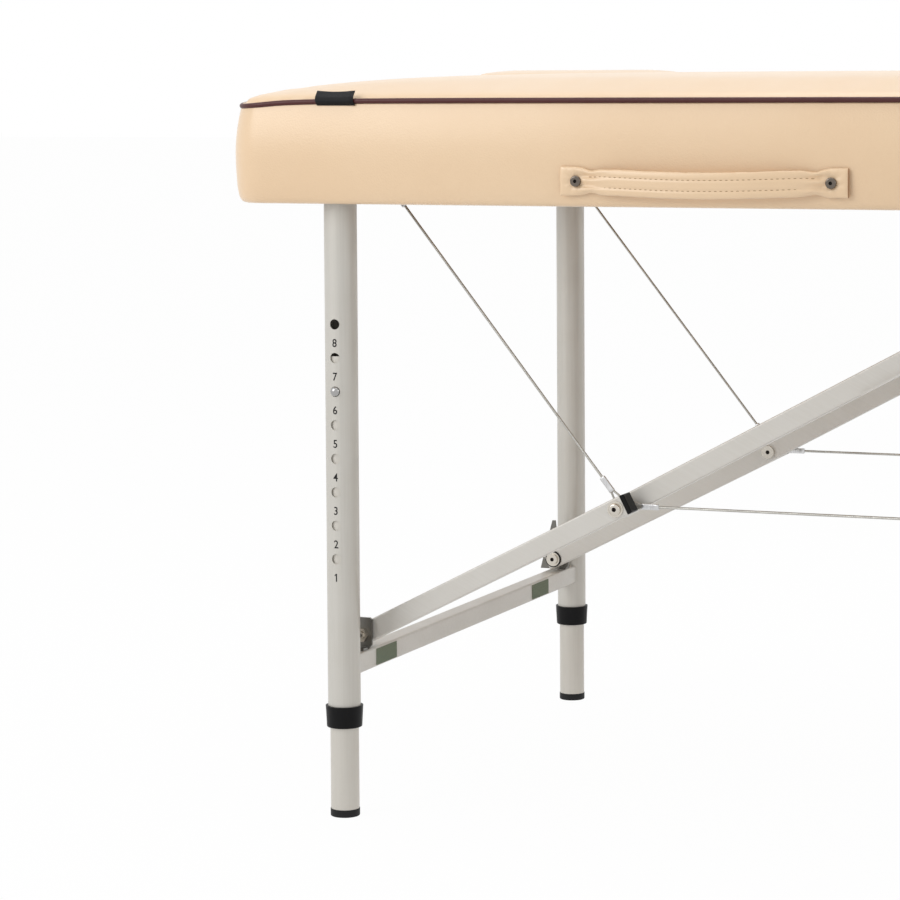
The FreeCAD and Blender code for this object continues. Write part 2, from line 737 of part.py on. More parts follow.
def gussets():
    """Pressed steel plates that stand on the crossbar and carry the lower brace pivots."""
    x, z = -PLACE["leg_x"], VALUE["bar_middle"] + VALUE["bar_size"] / 2
    pivot_x = VALUE["foot_pivot_offset"]
    back, top = -VALUE["gusset_back"], VALUE["gusset_top"]
    cheek = pivot_x + VALUE["gusset_cheek"]
    cheek_top = VALUE["foot_pivot_height"] + VALUE["gusset_cheek_rise"]
    outline = [(x + dx, height) for dx, height in (
        (back, z), (back + 2, z + 8), (pivot_x - 9.5, top), (pivot_x - 6, top), (pivot_x - 3.5, cheek_top),
        (cheek - 2, cheek_top), (cheek, cheek_top - 2), (cheek, z + 5), (cheek - 4, z),
    )]
    web = plate("gusset_web", outline, "gusset_plane", "gusset_thickness")
    foot_y = ("0 - gusset_plane - gusset_flange", "0 - gusset_plane")
    foot = box("gusset_foot", ("0 - leg_x - bar_size / 2", "bar_size / 2 - leg_x - 2"), foot_y,
               ("bar_middle + bar_size / 2", "bar_middle + bar_size / 2 + gusset_thickness"))
    bore = rod("gusset_bore", "y", "pin_radius", ("0 - gusset_plane - 9", "9 - gusset_plane"),
               ("foot_pivot_offset - leg_x", "foot_pivot_height"))
    gusset = cut("gusset", fuse("gusset_whole", web, foot), bore)
    both_halves("gussets", both_sides("gussets", gusset))


def hook_pads():
    """Thin pads on the inner face of the crossbar, where the folded links come to rest."""
    x = ("bar_size / 2 - leg_x", "bar_size / 2 + pad_thickness - leg_x")
    z = ("bar_middle - pad_height / 2", "bar_middle + pad_height / 2")
    front = box("front_hook_pad", x, ("0 - front_pad - pad_length / 2", "pad_length / 2 - front_pad"), z)
    rear = box("rear_hook_pad", x, ("rear_pad - pad_length / 2", "rear_pad + pad_length / 2"), z)
    both_halves("hook_pads", group("hook_pads", front, rear))


def leg_collars():
    """Plastic collars round the lower ends of the outer legs, with a lip that guides the inner ones."""
    x, y = "0 - leg_x", "0 - leg_y"
    low = "tube_bottom - collar_lip"
    body = doc.addObject("Part::Cone", "collar_body")
    bind(body, "Radius1", "tube_radius + collar_foot_wall")
    bind(body, "Radius2", "tube_radius + collar_wall")
    bind(body, "Height", "collar_height")
    for axis, expression in zip("xyz", (x, y, low)):
        bind(body, f"Placement.Base.{axis}", expression)
    doc.recompute()
    bottom = body.Shape.BoundBox.ZMin
    shaped = rounded("collar_shaped", body, 0.9, lambda b: abs(b.ZMax - bottom) < 0.01)
    socket = rod("collar_socket", "z", "tube_radius", ("tube_bottom", f"{low} + collar_height + 1"), (x, y))
    lip = rod("collar_bore", "z", "inner_radius + collar_clearance", (f"{low} - 1", "tube_bottom + 1"),
              (x, y))
    both_halves("leg_collars", both_sides("leg_collars", cut("collar", shaped, socket, lip)))


def lower_bolts():
    """Bolts and nuts of the lower brace pivots, with the head inside and the nut outside."""
    x, z = "foot_pivot_offset - leg_x", "foot_pivot_height"
    plane, outer = "lower_link_plane", "gusset_plane + gusset_thickness"
    shank = rod("lower_shank", "y", "pin_radius", (f"0 - ({outer}) - 7", f"0 - {plane}"), (x, z))
    seat = f"1.4 - {plane}"
    washer = rod("lower_washer", "y", "washer_radius", (seat, f"{seat} + 0.8"), (x, z))
    head = rod("lower_head", "y", "head_radius", (f"{seat} + 0.7", f"{seat} + head_height"), (x, z))
    neck = rod("lower_neck", "y", "pin_radius", (f"0 - {plane} - 1", f"{seat} + 1"), (x, z))
    socket = hex_key("lower_socket", "head_socket",
                     (f"{seat} + head_height - socket_depth", f"{seat} + 9"), (x, z))
    bolt = cut("lower_bolt", fuse("lower_bolt_whole", shank, neck, washer, head), socket)
    nut = hex_key("lower_nut_blank", "nut_across", (f"0 - ({outer}) - 5.6", f"0 - ({outer}) - 0.1"), (x, z))
    thread = rod("nut_bore", "y", "pin_radius", (f"0 - ({outer}) - 9", f"0 - ({outer}) + 1"), (x, z))
    front = [bolt, cut("lower_nut", nut, thread)]
    rear = [mirror(f"{p.Name}_rear", p, ACROSS) for p in front]
    both_halves("lower_bolts", group("lower_bolts", *front, *rear))


# ---------------------------------------------------------------- telescoping legs

def inner_legs():
    """Inner leg tubes, their foot caps and their sprung buttons: one of each at every corner."""
    x, y = "0 - leg_x", "0 - leg_y"
    skin = rod("inner_skin", "z", "inner_radius", ("foot_height", "inner_top"), (x, y))
    bore = rod("inner_bore", "z", "inner_radius - tube_wall", ("foot_height - 1", "inner_top + 1"), (x, y))
    hole = rod("inner_hole", "y", "hole_radius + 0.2", ("0 - leg_y - tube_radius", y), (x, "button_height"))
    pieces = {
        "inner_leg": cut("inner_leg", skin, bore, hole),
        "foot_cap": foot_cap(),
        "snap_button": snap_button(),
    }
    for name, piece in pieces.items():
        rear = mirror(f"rear_{name}", piece, ACROSS)
        for corner, source in (("front", piece), ("rear", rear)):
            node(f"{corner}_left_{name}", group(f"{corner}_left_{name}", source))
            node(f"{corner}_right_{name}", mirror(f"{corner}_right_{name}", source, ALONG))


def foot_cap():
    """Rubber cap under the inner leg, with a spigot up its bore."""
    x, y = "0 - leg_x", "0 - leg_y"
    sole = rod("sole", "z", "inner_radius + foot_lip", (MIDDLE, "foot_height"), (x, y))
    shaped = rounded("sole_rounded", sole, 1.2, lambda b: b.ZMax < 0.01)
    spigot = rod("spigot", "z", "inner_radius - tube_wall - spigot_clearance",
                 ("foot_height - 1", "foot_height + spigot_length"), (x, y))
    return fuse("foot_cap", shaped, spigot)


def snap_button():
    """Domed steel button on a leaf spring that hangs inside the inner leg."""
    x, z = "0 - leg_x", "button_height"
    stem = rod("button_stem", "y", "hole_radius - 0.4",
               ("0 - leg_y - tube_radius - 0.5", "0 - leg_y - inner_radius + 3.6"), (x, z))
    dome = doc.addObject("Part::Sphere", "button_dome")
    bind(dome, "Radius", "hole_radius - 0.4 + 0.9")
    for axis, expression in (("x", x), ("y", "0 - leg_y - tube_radius + 2.4"), ("z", z)):
        bind(dome, f"Placement.Base.{axis}", expression)
    column = rod("dome_column", "y", "hole_radius - 0.4",
                 ("0 - leg_y - tube_radius - 9", "0 - leg_y - tube_radius"), (x, z))
    flange = rod("button_flange", "y", "hole_radius + 1.2",
                 ("0 - leg_y - inner_radius + 3.6", "0 - leg_y - inner_radius + 4.8"), (x, z))
    spring = box("button_spring", (f"{x} - 3.5", f"{x} + 3.5"),
                 ("0 - leg_y - inner_radius + 4", "0 - leg_y - inner_radius + 4.8"),
                 (f"{z} - 52", z))
    return fuse("snap_button", stem, common("button_cap", dome, column), flange, spring)


# ---------------------------------------------------------------- folding braces

def link(label, length, near, first_bore, last_bore):
    """Make a square-tube link along +X with a pivot bore at the origin and at its length."""
    tail, size, wall = "link_tail", "link_size", "link_wall"
    y = (f"0 - {near} - {size}", f"0 - {near}")
    solid = box(f"{label}_solid", (f"0 - {tail}", f"{length} + {tail}"), y,
                (f"0 - {size} / 2", f"{size} / 2"))
    outer = rounded(f"{label}_rounded", solid, 1.6, lambda b: b.XLength > 50)
    bore = box(f"{label}_hollow", (f"0 - {tail} - 1", f"{length} + {tail} + 1"),
               (f"0 - {near} - {size} + {wall}", f"0 - {near} - {wall}"),
               (f"{wall} - {size} / 2", f"{size} / 2 - {wall}"))
    pivots = [
        rod(f"{label}_pivot{number}", "y", radius, (f"0 - {near} - {size} - 1", f"1 - {near}"),
            (at, MIDDLE))
        for number, (radius, at) in enumerate(((first_bore, MIDDLE), (last_bore, length)))
    ]
    return outer, [bore, *pivots]


def incline(item, x, z, slope):
    """Place a link with its origin at a pivot, sloping up along +X by a named angle."""
    item.Placement = FreeCAD.Placement(Vector(), FreeCAD.Rotation(Vector(0, -1, 0), 1))
    bind(item, "Placement.Base.x", x)
    bind(item, "Placement.Base.z", z)
    bind(item, "Placement.Rotation.Angle", slope)
    return item


def brace_links():
    """Lower links on the leg frames and upper links under the board, one of each front and rear."""
    foot_bore, fixed = "pin_radius + running_clearance", "pin_radius"
    outer, cuts = link("lower", "lower_link_length", "lower_link_plane", foot_bore, fixed)
    lower = incline(cut("lower_link", outer, *cuts), "foot_pivot_offset - leg_x", "foot_pivot_height",
                    "lower_link_slope")
    both_halves("lower_links", both_sides("lower_links", lower))
    outer, cuts = link("upper", "upper_link_length", "upper_link_plane", "sleeve_radius", foot_bore)
    face = "0 - upper_link_plane - link_size"
    lip = box("upper_lip", ("lip_start", "upper_link_length - 40"), (f"{face} - lip_width", f"{face} + 2"),
              ("0 - link_size / 2", "link_wall - link_size / 2"))
    upper = incline(cut("upper_link", fuse("upper_solid", outer, lip), *cuts), "knee_offset - leg_x",
                    "knee_height", "upper_link_slope")
    both_halves("upper_links", both_sides("upper_links", upper))


def link_plastics():
    """End plugs of the lower links and the washers between those links and the gussets."""
    size, wall, tail = "link_size", "link_wall", "link_tail"
    near = "lower_link_plane"
    end = f"lower_link_length + {tail}"
    cap = box("plug_cap", (end, f"{end} + 4.5"), (f"0 - {near} - {size} + 0.3", f"0 - {near} - 0.3"),
              (f"0.3 - {size} / 2", f"{size} / 2 - 0.3"))
    core = box("plug_core", (f"{end} - 4", end),
               (f"{wall} + 0.1 - {near} - {size}", f"0 - {near} - {wall} - 0.1"),
               (f"{wall} + 0.1 - {size} / 2", f"{size} / 2 - {wall} - 0.1"))
    doc.recompute()
    tip = cap.Shape.BoundBox.XMax
    cap = rounded("plug_cap_rounded", cap, 1.4, lambda b: b.XMin > tip - 0.01)
    plug = incline(fuse("end_plug", cap, core), "foot_pivot_offset - leg_x", "foot_pivot_height",
                   "lower_link_slope")
    x, z = "foot_pivot_offset - leg_x", "foot_pivot_height"
    front = [plug]
    for side, y in (("outer", ("0.15 - gusset_plane", f"0 - {near} - {size}")),
                    ("inner", (f"0.1 - {near}", f"1.4 - {near}"))):
        blank = rod(f"{side}_washer_body", "y", "plastic_washer_radius", y, (x, z))
        hole = rod(f"{side}_washer_hole", "y", "pin_radius + 0.3", (f"{y[0]} - 1", f"{y[1]} + 1"), (x, z))
        front.append(cut(f"{side}_washer", blank, hole))
    rear = [mirror(f"{p.Name}_rear", p, ACROSS) for p in front]
    both_halves("link_plastics", group("link_plastics", *front, *rear))


def knee_hardware():
    """Knee bolts in the lower links and, in line with them, the sleeve nuts in the upper links."""
    x, z = "knee_offset - leg_x", "knee_height"
    outer = "lower_link_plane + link_size"
    middle = "(upper_link_plane + link_size + lower_link_plane) / 2"
    shank = rod("knee_shank", "y", "pin_radius", (f"0 - ({outer}) - 2", f"0 - {middle} - 0.2"), (x, z))
    washer = rod("knee_washer", "y", "washer_radius",
                 (f"0 - ({outer}) - washer_thickness", f"0 - ({outer})"), (x, z))
    seat = f"0 - ({outer}) - washer_thickness"
    tip = f"{seat} - head_height"
    head = domed_head("knee_head", "head_radius", (tip, seat), (x, z))
    socket = hex_key("knee_socket", "head_socket", (f"{tip} - 1", f"{tip} + socket_depth"), (x, z))
    bolt = cut("knee_bolt", fuse("knee_bolt_whole", shank, washer, head), socket)
    both_halves("knee_bolts", both_sides("knee_bolts", bolt))
    sleeve = rod("sleeve_barrel", "y", "sleeve_radius", (f"0.2 - {middle}", "1 - upper_link_plane"), (x, z))
    cap = rod("sleeve_cap", "y", "cap_radius", ("0 - upper_link_plane", "3 - upper_link_plane"), (x, z))
    both_halves("knee_sleeves", both_sides("knee_sleeves", fuse("knee_sleeve", sleeve, cap)))


# ---------------------------------------------------------------- steel cables

def ferrule(label, start, toward):
    """Make the pressed ferrule that closes a cable's loop, lying along the cable."""
    direction = (toward - start).normalize()
    item = doc.addObject("Part::Box", label)
    bind(item, "Length", "ferrule_length")
    bind(item, "Width", "2 * cable_radius + 0.6")
    bind(item, "Height", "2 * ferrule_radius")
    doc.recompute()
    angle = math.degrees(math.atan2(direction.z, direction.x))
    turn = FreeCAD.Rotation(Vector(0, -1, 0), angle)
    corner = Vector(SIZE["ferrule_distance"] - SIZE["ferrule_length"] / 2, -item.Width.Value / 2,
                    -SIZE["ferrule_radius"])
    item.Placement = FreeCAD.Placement(start + turn.multVec(corner), turn)
    return item


def cable(label, start, end):
    """Make a taut cable with a loop and a ferrule at both ends."""
    run = (end - start).normalize()
    reach = run * (SIZE["loop_radius"] - 0.5)
    return fuse(
        label,
        strut(f"{label}_strand", "cable_radius", start + reach, end - reach),
        ring(f"{label}_first_loop", "loop_radius", "cable_radius", start),
        ring(f"{label}_last_loop", "loop_radius", "cable_radius", end),
        ferrule(f"{label}_first_ferrule", start, end),
        ferrule(f"{label}_last_ferrule", end, start),
    )


def cables():
    """Cables from the deck to each knee, and the two that tie the knees of the halves together."""
    knee = Vector(SIZE["knee_offset"] - PLACE["leg_x"], 0, SIZE["knee_height"])
    peg = Vector(SIZE["eye_offset"] - PLACE["leg_x"], 0, SIZE["eye_height"])
    outer = Vector(0, -(SIZE["lower_link_plane"] - SIZE["cable_radius"] - 0.9), 0)
    inner = Vector(0, -(SIZE["upper_link_plane"] + SIZE["link_size"] + SIZE["cable_radius"] + 0.9), 0)
    both_halves("brace_cables", both_sides("brace_cables", cable("brace_cable", knee + outer, peg + outer)))
    other_knee = Vector(-knee.x, 0, knee.z)
    tie = cable("centre_cable", knee + inner, other_knee + inner)
    node("centre_cables", both_sides("centre_cables", tie))


# ---------------------------------------------------------------- build and export

def faults(item):
    """List what is wrong with an object's state or shape."""
    found = [state for state in item.State if state in ("Invalid", "Error")]
    shape = getattr(item, "Shape", None)
    if shape is not None and (shape.isNull() or not shape.isValid()):
        found.append("bad shape")
    return found


def export():
    """Check every object, then write each node's shape to its own file."""
    doc.recompute()
    shaped = [o for o in doc.Objects if o.isDerivedFrom("Part::Feature")]
    broken = {o.Name: faults(o) for o in shaped if o.TypeId != "Sketcher::SketchObject" and faults(o)}
    if broken:
        raise RuntimeError(f"objects with faults: {broken}")
    for name, item in NODES.items():
        if not item.Shape.Solids:
            raise RuntimeError(f"{name} holds no solid")
    os.makedirs(NODE_FOLDER, exist_ok=True)
    for name, item in NODES.items():
        item.Shape.exportStep(f"{NODE_FOLDER}/{name}.step")
    print(f"{len(NODES)} nodes written")


frame_rails()
deck_board()
foam_block()
cover_shell()
piping()
face_plug()
side_tag()
handle()
deck_brackets()
centre_hinges()
outer_leg()
crossbar()
gussets()
hook_pads()
leg_collars()
lower_bolts()
inner_legs()
brace_links()
link_plastics()
knee_hardware()
cables()
export()
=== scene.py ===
"""The looks of a portable folding massage table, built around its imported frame.

Everything is in metres.  +X runs along the table, +Y across it and +Z up, with the floor at zero.
The left half, at -X, holds the face hole.  Metal pieces come from the frame and are given their
finishes here; the upholstery, its piping, the straps, the printed numbers and the steel cables are
modelled here and stand for the plain solids of the frame.
"""
import logging
import math
from bisect import bisect_right
from dataclasses import dataclass, field
from enum import Enum
from typing import Callable, Iterable, Sequence

import bmesh
import bpy
from mathutils import Matrix, Vector, noise

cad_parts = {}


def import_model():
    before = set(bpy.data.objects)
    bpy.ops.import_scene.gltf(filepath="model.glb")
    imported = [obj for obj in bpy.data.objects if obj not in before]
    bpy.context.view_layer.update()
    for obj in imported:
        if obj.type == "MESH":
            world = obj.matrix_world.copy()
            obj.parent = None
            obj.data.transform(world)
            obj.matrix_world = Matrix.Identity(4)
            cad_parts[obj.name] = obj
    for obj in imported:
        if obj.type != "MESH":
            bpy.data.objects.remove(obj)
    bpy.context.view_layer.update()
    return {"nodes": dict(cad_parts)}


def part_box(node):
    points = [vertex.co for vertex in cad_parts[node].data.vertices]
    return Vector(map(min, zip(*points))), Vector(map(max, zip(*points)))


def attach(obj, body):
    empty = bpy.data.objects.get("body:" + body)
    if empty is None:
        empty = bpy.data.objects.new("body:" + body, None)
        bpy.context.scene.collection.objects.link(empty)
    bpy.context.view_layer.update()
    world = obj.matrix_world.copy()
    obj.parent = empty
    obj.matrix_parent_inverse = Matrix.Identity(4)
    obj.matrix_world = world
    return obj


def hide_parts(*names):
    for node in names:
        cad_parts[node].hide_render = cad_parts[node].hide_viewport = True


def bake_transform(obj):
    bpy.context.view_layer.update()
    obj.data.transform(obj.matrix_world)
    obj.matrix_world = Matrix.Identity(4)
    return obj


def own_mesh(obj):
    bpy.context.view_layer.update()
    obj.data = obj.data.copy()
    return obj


log = logging.getLogger("massage_table")

Point = tuple[float, float, float]
Piece = bpy.types.Object
Socket = bpy.types.NodeSocket
HALVES = {"left": -1, "right": 1}
SIDES = {"front": -1, "rear": 1}
MIRROR = Matrix.Scale(-1, 4, Vector((1, 0, 0)))
# Painted shade for the recessed key sockets of bolts, put into the colour in place of real shading.
SOCKET_SHADE_COLOUR = (34, 31, 29)
COAT_ROUGHNESS = 0.3


# ------------------------------------------------------------------ modelling helpers

def linear(colour: Sequence[int]) -> tuple[float, float, float, float]:
    """Turn a screen colour, from 0 to 255, into the linear colour that shaders read."""
    channels = [c / 255 for c in colour]
    return (*[c / 12.92 if c <= 0.04045 else ((c + 0.055) / 1.055) ** 2.4 for c in channels], 1.0)


def only(obj: Piece) -> Piece:
    """Select one object alone and make it active."""
    if bpy.context.object and bpy.context.object.mode != "OBJECT":
        bpy.ops.object.mode_set(mode="OBJECT")
    bpy.ops.object.select_all(action="DESELECT")
    obj.select_set(True)
    bpy.context.view_layer.objects.active = obj
    return obj


def block(name: str, low: Point, high: Point) -> Piece:
    """Add a box between two corners, with its place in its mesh.

    Args:
        name: The piece's name.
        low: The lowest corner.
        high: The highest corner.

    Returns:
        The new object, selected alone.
    """
    bpy.ops.object.select_all(action="DESELECT")
    middle = [(a + b) / 2 for a, b in zip(low, high)]
    bpy.ops.mesh.primitive_cube_add(size=1, location=middle)
    obj = named(name)
    obj.scale = [b - a for a, b in zip(low, high)]
    return settle(obj)


def named(name: str) -> Piece:
    """Name the object that was just added, with its mesh, and give it."""
    obj = bpy.context.object
    obj.name = obj.data.name = name
    return obj


def settle(obj: Piece) -> Piece:
    """Move an object's place, turn and scale into its mesh."""
    only(obj)
    bpy.ops.object.transform_apply(location=True, rotation=True, scale=True)
    return obj


def copy_of(obj: Piece, name: str, matrix: Matrix) -> Piece:
    """Copy a piece with its own mesh, moved by a matrix that may mirror it.

    Args:
        obj: The piece to copy.
        name: The copy's name.
        matrix: Where the copy goes, from where the piece is.

    Returns:
        The copy, with faces that point outwards.
    """
    twin = obj.copy()
    twin.data = obj.data.copy()
    twin.name = twin.data.name = name
    bpy.context.collection.objects.link(twin)
    twin.data.transform(matrix)
    if matrix.determinant() < 0:
        twin.data.flip_normals()
    return twin


def edit(obj: Piece) -> None:
    """Enter a piece's edit mode with all of it selected."""
    only(obj)
    bpy.ops.object.mode_set(mode="EDIT")
    bpy.ops.mesh.select_all(action="SELECT")


def leave_edit() -> None:
    """Go back to object mode."""
    bpy.ops.object.mode_set(mode="OBJECT")


def choose(obj: Piece, kind: str, test: Callable[[Vector], bool]) -> None:
    """Enter edit mode and select the elements whose vertices all pass a test.

    Args:
        obj: The piece to edit.
        kind: VERT, EDGE or FACE.
        test: Says whether a vertex at a point belongs.
    """
    edit(obj)
    bpy.ops.mesh.select_mode(type=kind)
    bpy.ops.mesh.select_all(action="DESELECT")
    mesh = bmesh.from_edit_mesh(obj.data)
    for item in {"VERT": mesh.verts, "EDGE": mesh.edges, "FACE": mesh.faces}[kind]:
        members = [item] if kind == "VERT" else item.verts
        item.select_set(all(test(v.co) for v in members))
    mesh.select_flush_mode()
    bmesh.update_edit_mesh(obj.data)


def choose_edges(obj: Piece, test: Callable[[Vector, Vector], bool]) -> None:
    """Enter edit mode and select the edges whose two ends together pass a test."""
    choose(obj, "EDGE", lambda v: False)
    mesh = bmesh.from_edit_mesh(obj.data)
    for edge in mesh.edges:
        edge.select_set(test(edge.verts[0].co, edge.verts[1].co))
    bmesh.update_edit_mesh(obj.data)


def slice_at(obj: Piece, axis: int, places: Iterable[float]) -> None:
    """Cut edge loops round a piece where planes across one axis meet it."""
    edit(obj)
    normal = [0.0, 0.0, 0.0]
    normal[axis] = 1.0
    for place in places:
        point = [0.0, 0.0, 0.0]
        point[axis] = place
        bpy.ops.mesh.select_all(action="SELECT")
        bpy.ops.mesh.bisect(plane_co=point, plane_no=normal)
    leave_edit()


def spread(low: float, high: float, step: float) -> list[float]:
    """List evenly spaced places inside a span, about one step apart."""
    count = max(2, round((high - low) / step))
    return [low + (high - low) * i / count for i in range(1, count)]


def bell(distance: float, reach: float) -> float:
    """Fall smoothly from 1 to nothing with a distance, over about a reach."""
    return math.exp(-(distance / reach) ** 2)


def shape(obj: Piece, place: Callable[[Vector], Vector]) -> None:
    """Move every vertex of a piece to where a function puts it."""
    for vertex in obj.data.vertices:
        vertex.co = place(vertex.co.copy())
    obj.data.update()


def finish_with(obj: Piece, kind: str, **settings: object) -> None:
    """Add one modifier to a piece and apply it."""
    only(obj)
    modifier = obj.modifiers.new(kind.title(), kind)
    for name, value in settings.items():
        setattr(modifier, name, value)
    bpy.ops.object.modifier_apply(modifier=modifier.name)


def smooth(obj: Piece, angle: float = 40.0) -> Piece:
    """Shade a piece smooth but for edges sharper than an angle in degrees."""
    only(obj)
    bpy.ops.object.shade_smooth_by_angle(angle=math.radians(angle))
    return obj


def merged(name: str, parts: Sequence[Piece]) -> Piece:
    """Join several objects into the first one and name it."""
    only(parts[0])
    for part in parts:
        part.select_set(True)
    bpy.ops.object.join()
    return named(name)


def outwards(obj: Piece) -> None:
    """Turn all faces of a closed piece outwards."""
    edit(obj)
    bpy.ops.mesh.normals_make_consistent(inside=False)
    leave_edit()


def laid_rope(name: str, length: float, radius: float, strands: int, lay: float,
              step: float) -> Piece:
    """Lay a straight wire rope that stands on the origin along +Z.

    Args:
        name: The piece's name.
        length: The rope's length.
        radius: The rope's radius over its strands.
        strands: How many strands show round the rope.
        lay: The length in which a strand winds once round.
        step: About how far apart the rings of its mesh are.

    Returns:
        The closed rope.
    """
    bpy.ops.object.select_all(action="DESELECT")
    bpy.ops.mesh.primitive_circle_add(vertices=strands * 4, radius=radius)
    obj = named(name)

    def lobed(point: Vector) -> Vector:
        """Draw the ring in between its strands."""
        angle = math.atan2(point.y, point.x)
        return point * (0.86 + 0.14 * abs(math.cos(strands * angle / 2)))

    shape(obj, lobed)
    rings = max(2, round(length / step))
    finish_with(obj, "SCREW", axis="Z", screw_offset=length, angle=math.tau * length / lay,
                steps=rings, render_steps=rings, use_merge_vertices=False, use_smooth_shade=True)
    for end in (0.0, length):
        choose(obj, "EDGE", lambda v, z=end: abs(v.z - z) < 1e-6)
        bpy.ops.mesh.edge_face_add()
    outwards(obj)
    return obj


# ------------------------------------------------------------------ finishes

class Pattern(Enum):
    """The kinds of surface that a finish can have."""

    LEATHER = "leather grain"
    DRAWN = "drawn metal"
    CAST = "fine even grain"
    WOVEN = "fine weave"
    WOOD = "layered wood"


class Wiring:
    """Adds nodes to a tree and joins them, so that a material reads as a list of steps."""

    def __init__(self, tree: bpy.types.NodeTree) -> None:
        """Work on one node tree."""
        self.tree = tree

    def add(self, kind: str, **settings: object) -> bpy.types.Node:
        """Add a node and set its properties."""
        made = self.tree.nodes.new(kind)
        for name, value in settings.items():
            setattr(made, name, value)
        return made

    def join(self, entry: Socket, value: object) -> None:
        """Join an input to another node's output, or set it to a plain value."""
        if isinstance(value, Socket):
            self.tree.links.new(value, entry)
        else:
            entry.default_value = value

    def feed(self, node: bpy.types.Node, **inputs: object) -> bpy.types.Node:
        """Set or join a node's inputs, by their names with spaces written as underscores."""
        for name, value in inputs.items():
            self.join(node.inputs[name.replace("_", " ")], value)
        return node

    def sums(self, operation: str, first: object, second: object) -> Socket:
        """Work out one sum of two values."""
        made = self.add("ShaderNodeMath", operation=operation)
        for entry, value in zip(made.inputs, (first, second)):
            self.join(entry, value)
        return made.outputs[0]

    def remap(self, value: Socket, low: float, high: float, to_low: float,
              to_high: float) -> Socket:
        """Stretch a value from one span to another."""
        made = self.add("ShaderNodeMapRange")
        self.feed(made, Value=value, From_Min=low, From_Max=high, To_Min=to_low, To_Max=to_high)
        return made.outputs[0]

    def noise(self, place: Socket, scale: object, detail: float,
              **more: float) -> Socket:
        """Read cloudy noise at a place."""
        made = self.add("ShaderNodeTexNoise")
        return self.feed(made, Vector=place, Scale=scale, Detail=detail, **more).outputs[0]

    def stretched(self, place: Socket, **factors: object) -> Socket:
        """Multiply a place's X, Y and Z."""
        made = self.add("ShaderNodeVectorMath", operation="MULTIPLY")
        sizes = self.feed(self.add("ShaderNodeCombineXYZ"), **factors)
        self.join(made.inputs[0], place)
        self.join(made.inputs[1], sizes.outputs[0])
        return made.outputs[0]

    def mixed(self, share: Socket, first: object, second: object) -> Socket:
        """Mix two colours by a share."""
        made = self.add("ShaderNodeMix", data_type="RGBA")
        for number, value in ((0, share), (6, first), (7, second)):
            self.join(made.inputs[number], value)
        return made.outputs[2]


@dataclass
class Grain:
    """A shader node group that takes a place and some numbers, and puts out a height and a tone."""

    name: str
    inputs: dict[str, float]

    def __post_init__(self) -> None:
        """Make the group and its ends."""
        self.group = bpy.data.node_groups.new(self.name, "ShaderNodeTree")
        self.port("Vector", "INPUT", "Vector")
        for label, value in self.inputs.items():
            self.port(label, "INPUT").default_value = value
        for label in ("Height", "Tone"):
            self.port(label, "OUTPUT")
        self.wiring = Wiring(self.group)
        self.entries = self.wiring.add("NodeGroupInput").outputs

    def port(self, name: str, way: str, kind: str = "Float") -> bpy.types.NodeTreeInterfaceSocket:
        """Add one named input or output to the group."""
        return self.group.interface.new_socket(name, in_out=way, socket_type=f"NodeSocket{kind}")

    def close(self, height: Socket, tone: Socket) -> bpy.types.NodeTree:
        """Join the height and the tone to the group's end, and give the group."""
        self.wiring.feed(self.wiring.add("NodeGroupOutput"), Height=height, Tone=tone)
        return self.group


def leather_group() -> bpy.types.NodeTree:
    """Pebbled grain of coated leather, with shallow creases and a slow drift of tone."""
    grain = Grain("leather_grain", {"Scale": 700.0, "Crease": 0.3})
    w, place = grain.wiring, grain.entries["Vector"]
    cells = w.feed(w.add("ShaderNodeTexVoronoi", feature="SMOOTH_F1"), Vector=place,
                   Scale=grain.entries["Scale"], Smoothness=0.6)
    fine = w.noise(place, 1900.0, 3.0)
    soft = w.noise(place, 34.0, 4.0, Distortion=0.6)
    pebbles = w.sums("ADD", cells.outputs["Distance"], w.sums("MULTIPLY", fine, 0.35))
    creases = w.sums("MULTIPLY", w.remap(soft, 0.35, 0.6, 0.0, 1.0), grain.entries["Crease"])
    drift = w.noise(place, 5.0, 5.0, Roughness=0.55)
    return grain.close(w.sums("ADD", pebbles, creases), w.remap(drift, 0.3, 0.7, 0.0, 1.0))


def drawn_group() -> bpy.types.NodeTree:
    """Fine lines left along drawn or brushed metal, and faint handling marks."""
    grain = Grain("drawn_metal", {"Scale": 900.0, "Length": 0.02})
    w, place = grain.wiring, grain.entries["Vector"]
    along = w.stretched(place, X=1.0, Y=1.0, Z=grain.entries["Length"])
    lines = w.noise(along, grain.entries["Scale"], 4.0)
    marks = w.remap(w.noise(place, 22.0, 6.0), 0.3, 0.7, 0.6, 1.2)
    return grain.close(lines, w.remap(w.sums("MULTIPLY", lines, marks), 0.25, 0.6, 0.0, 1.0))


def cast_group() -> bpy.types.NodeTree:
    """Even fine grain of moulded plastic, rubber, paint or sandblasted metal."""
    grain = Grain("fine_grain", {"Scale": 2200.0, "Wear": 0.5})
    w, place = grain.wiring, grain.entries["Vector"]
    specks = w.noise(place, grain.entries["Scale"], 2.0)
    patches = w.remap(w.noise(place, 60.0, 7.0, Roughness=0.7), 0.42, 0.75, 0.0, 1.0)
    return grain.close(specks, w.sums("MULTIPLY", patches, grain.entries["Wear"]))


def woven_group() -> bpy.types.NodeTree:
    """Threads that cross at right angles, as on ribbon, hook tape and sewing thread."""
    grain = Grain("weave", {"Scale": 1500.0, "Fuzz": 0.3})
    w, place = grain.wiring, grain.entries["Vector"]
    waves = [
        w.feed(w.add("ShaderNodeTexWave", bands_direction=way), Vector=place,
               Scale=grain.entries["Scale"]).outputs[1]
        for way in ("X", "DIAGONAL")
    ]
    fuzz = w.sums("MULTIPLY", w.noise(place, 3000.0, 2.0), grain.entries["Fuzz"])
    height = w.sums("ADD", w.sums("MAXIMUM", *waves), fuzz)
    return grain.close(height, w.remap(height, 0.2, 1.2, 0.0, 1.0))


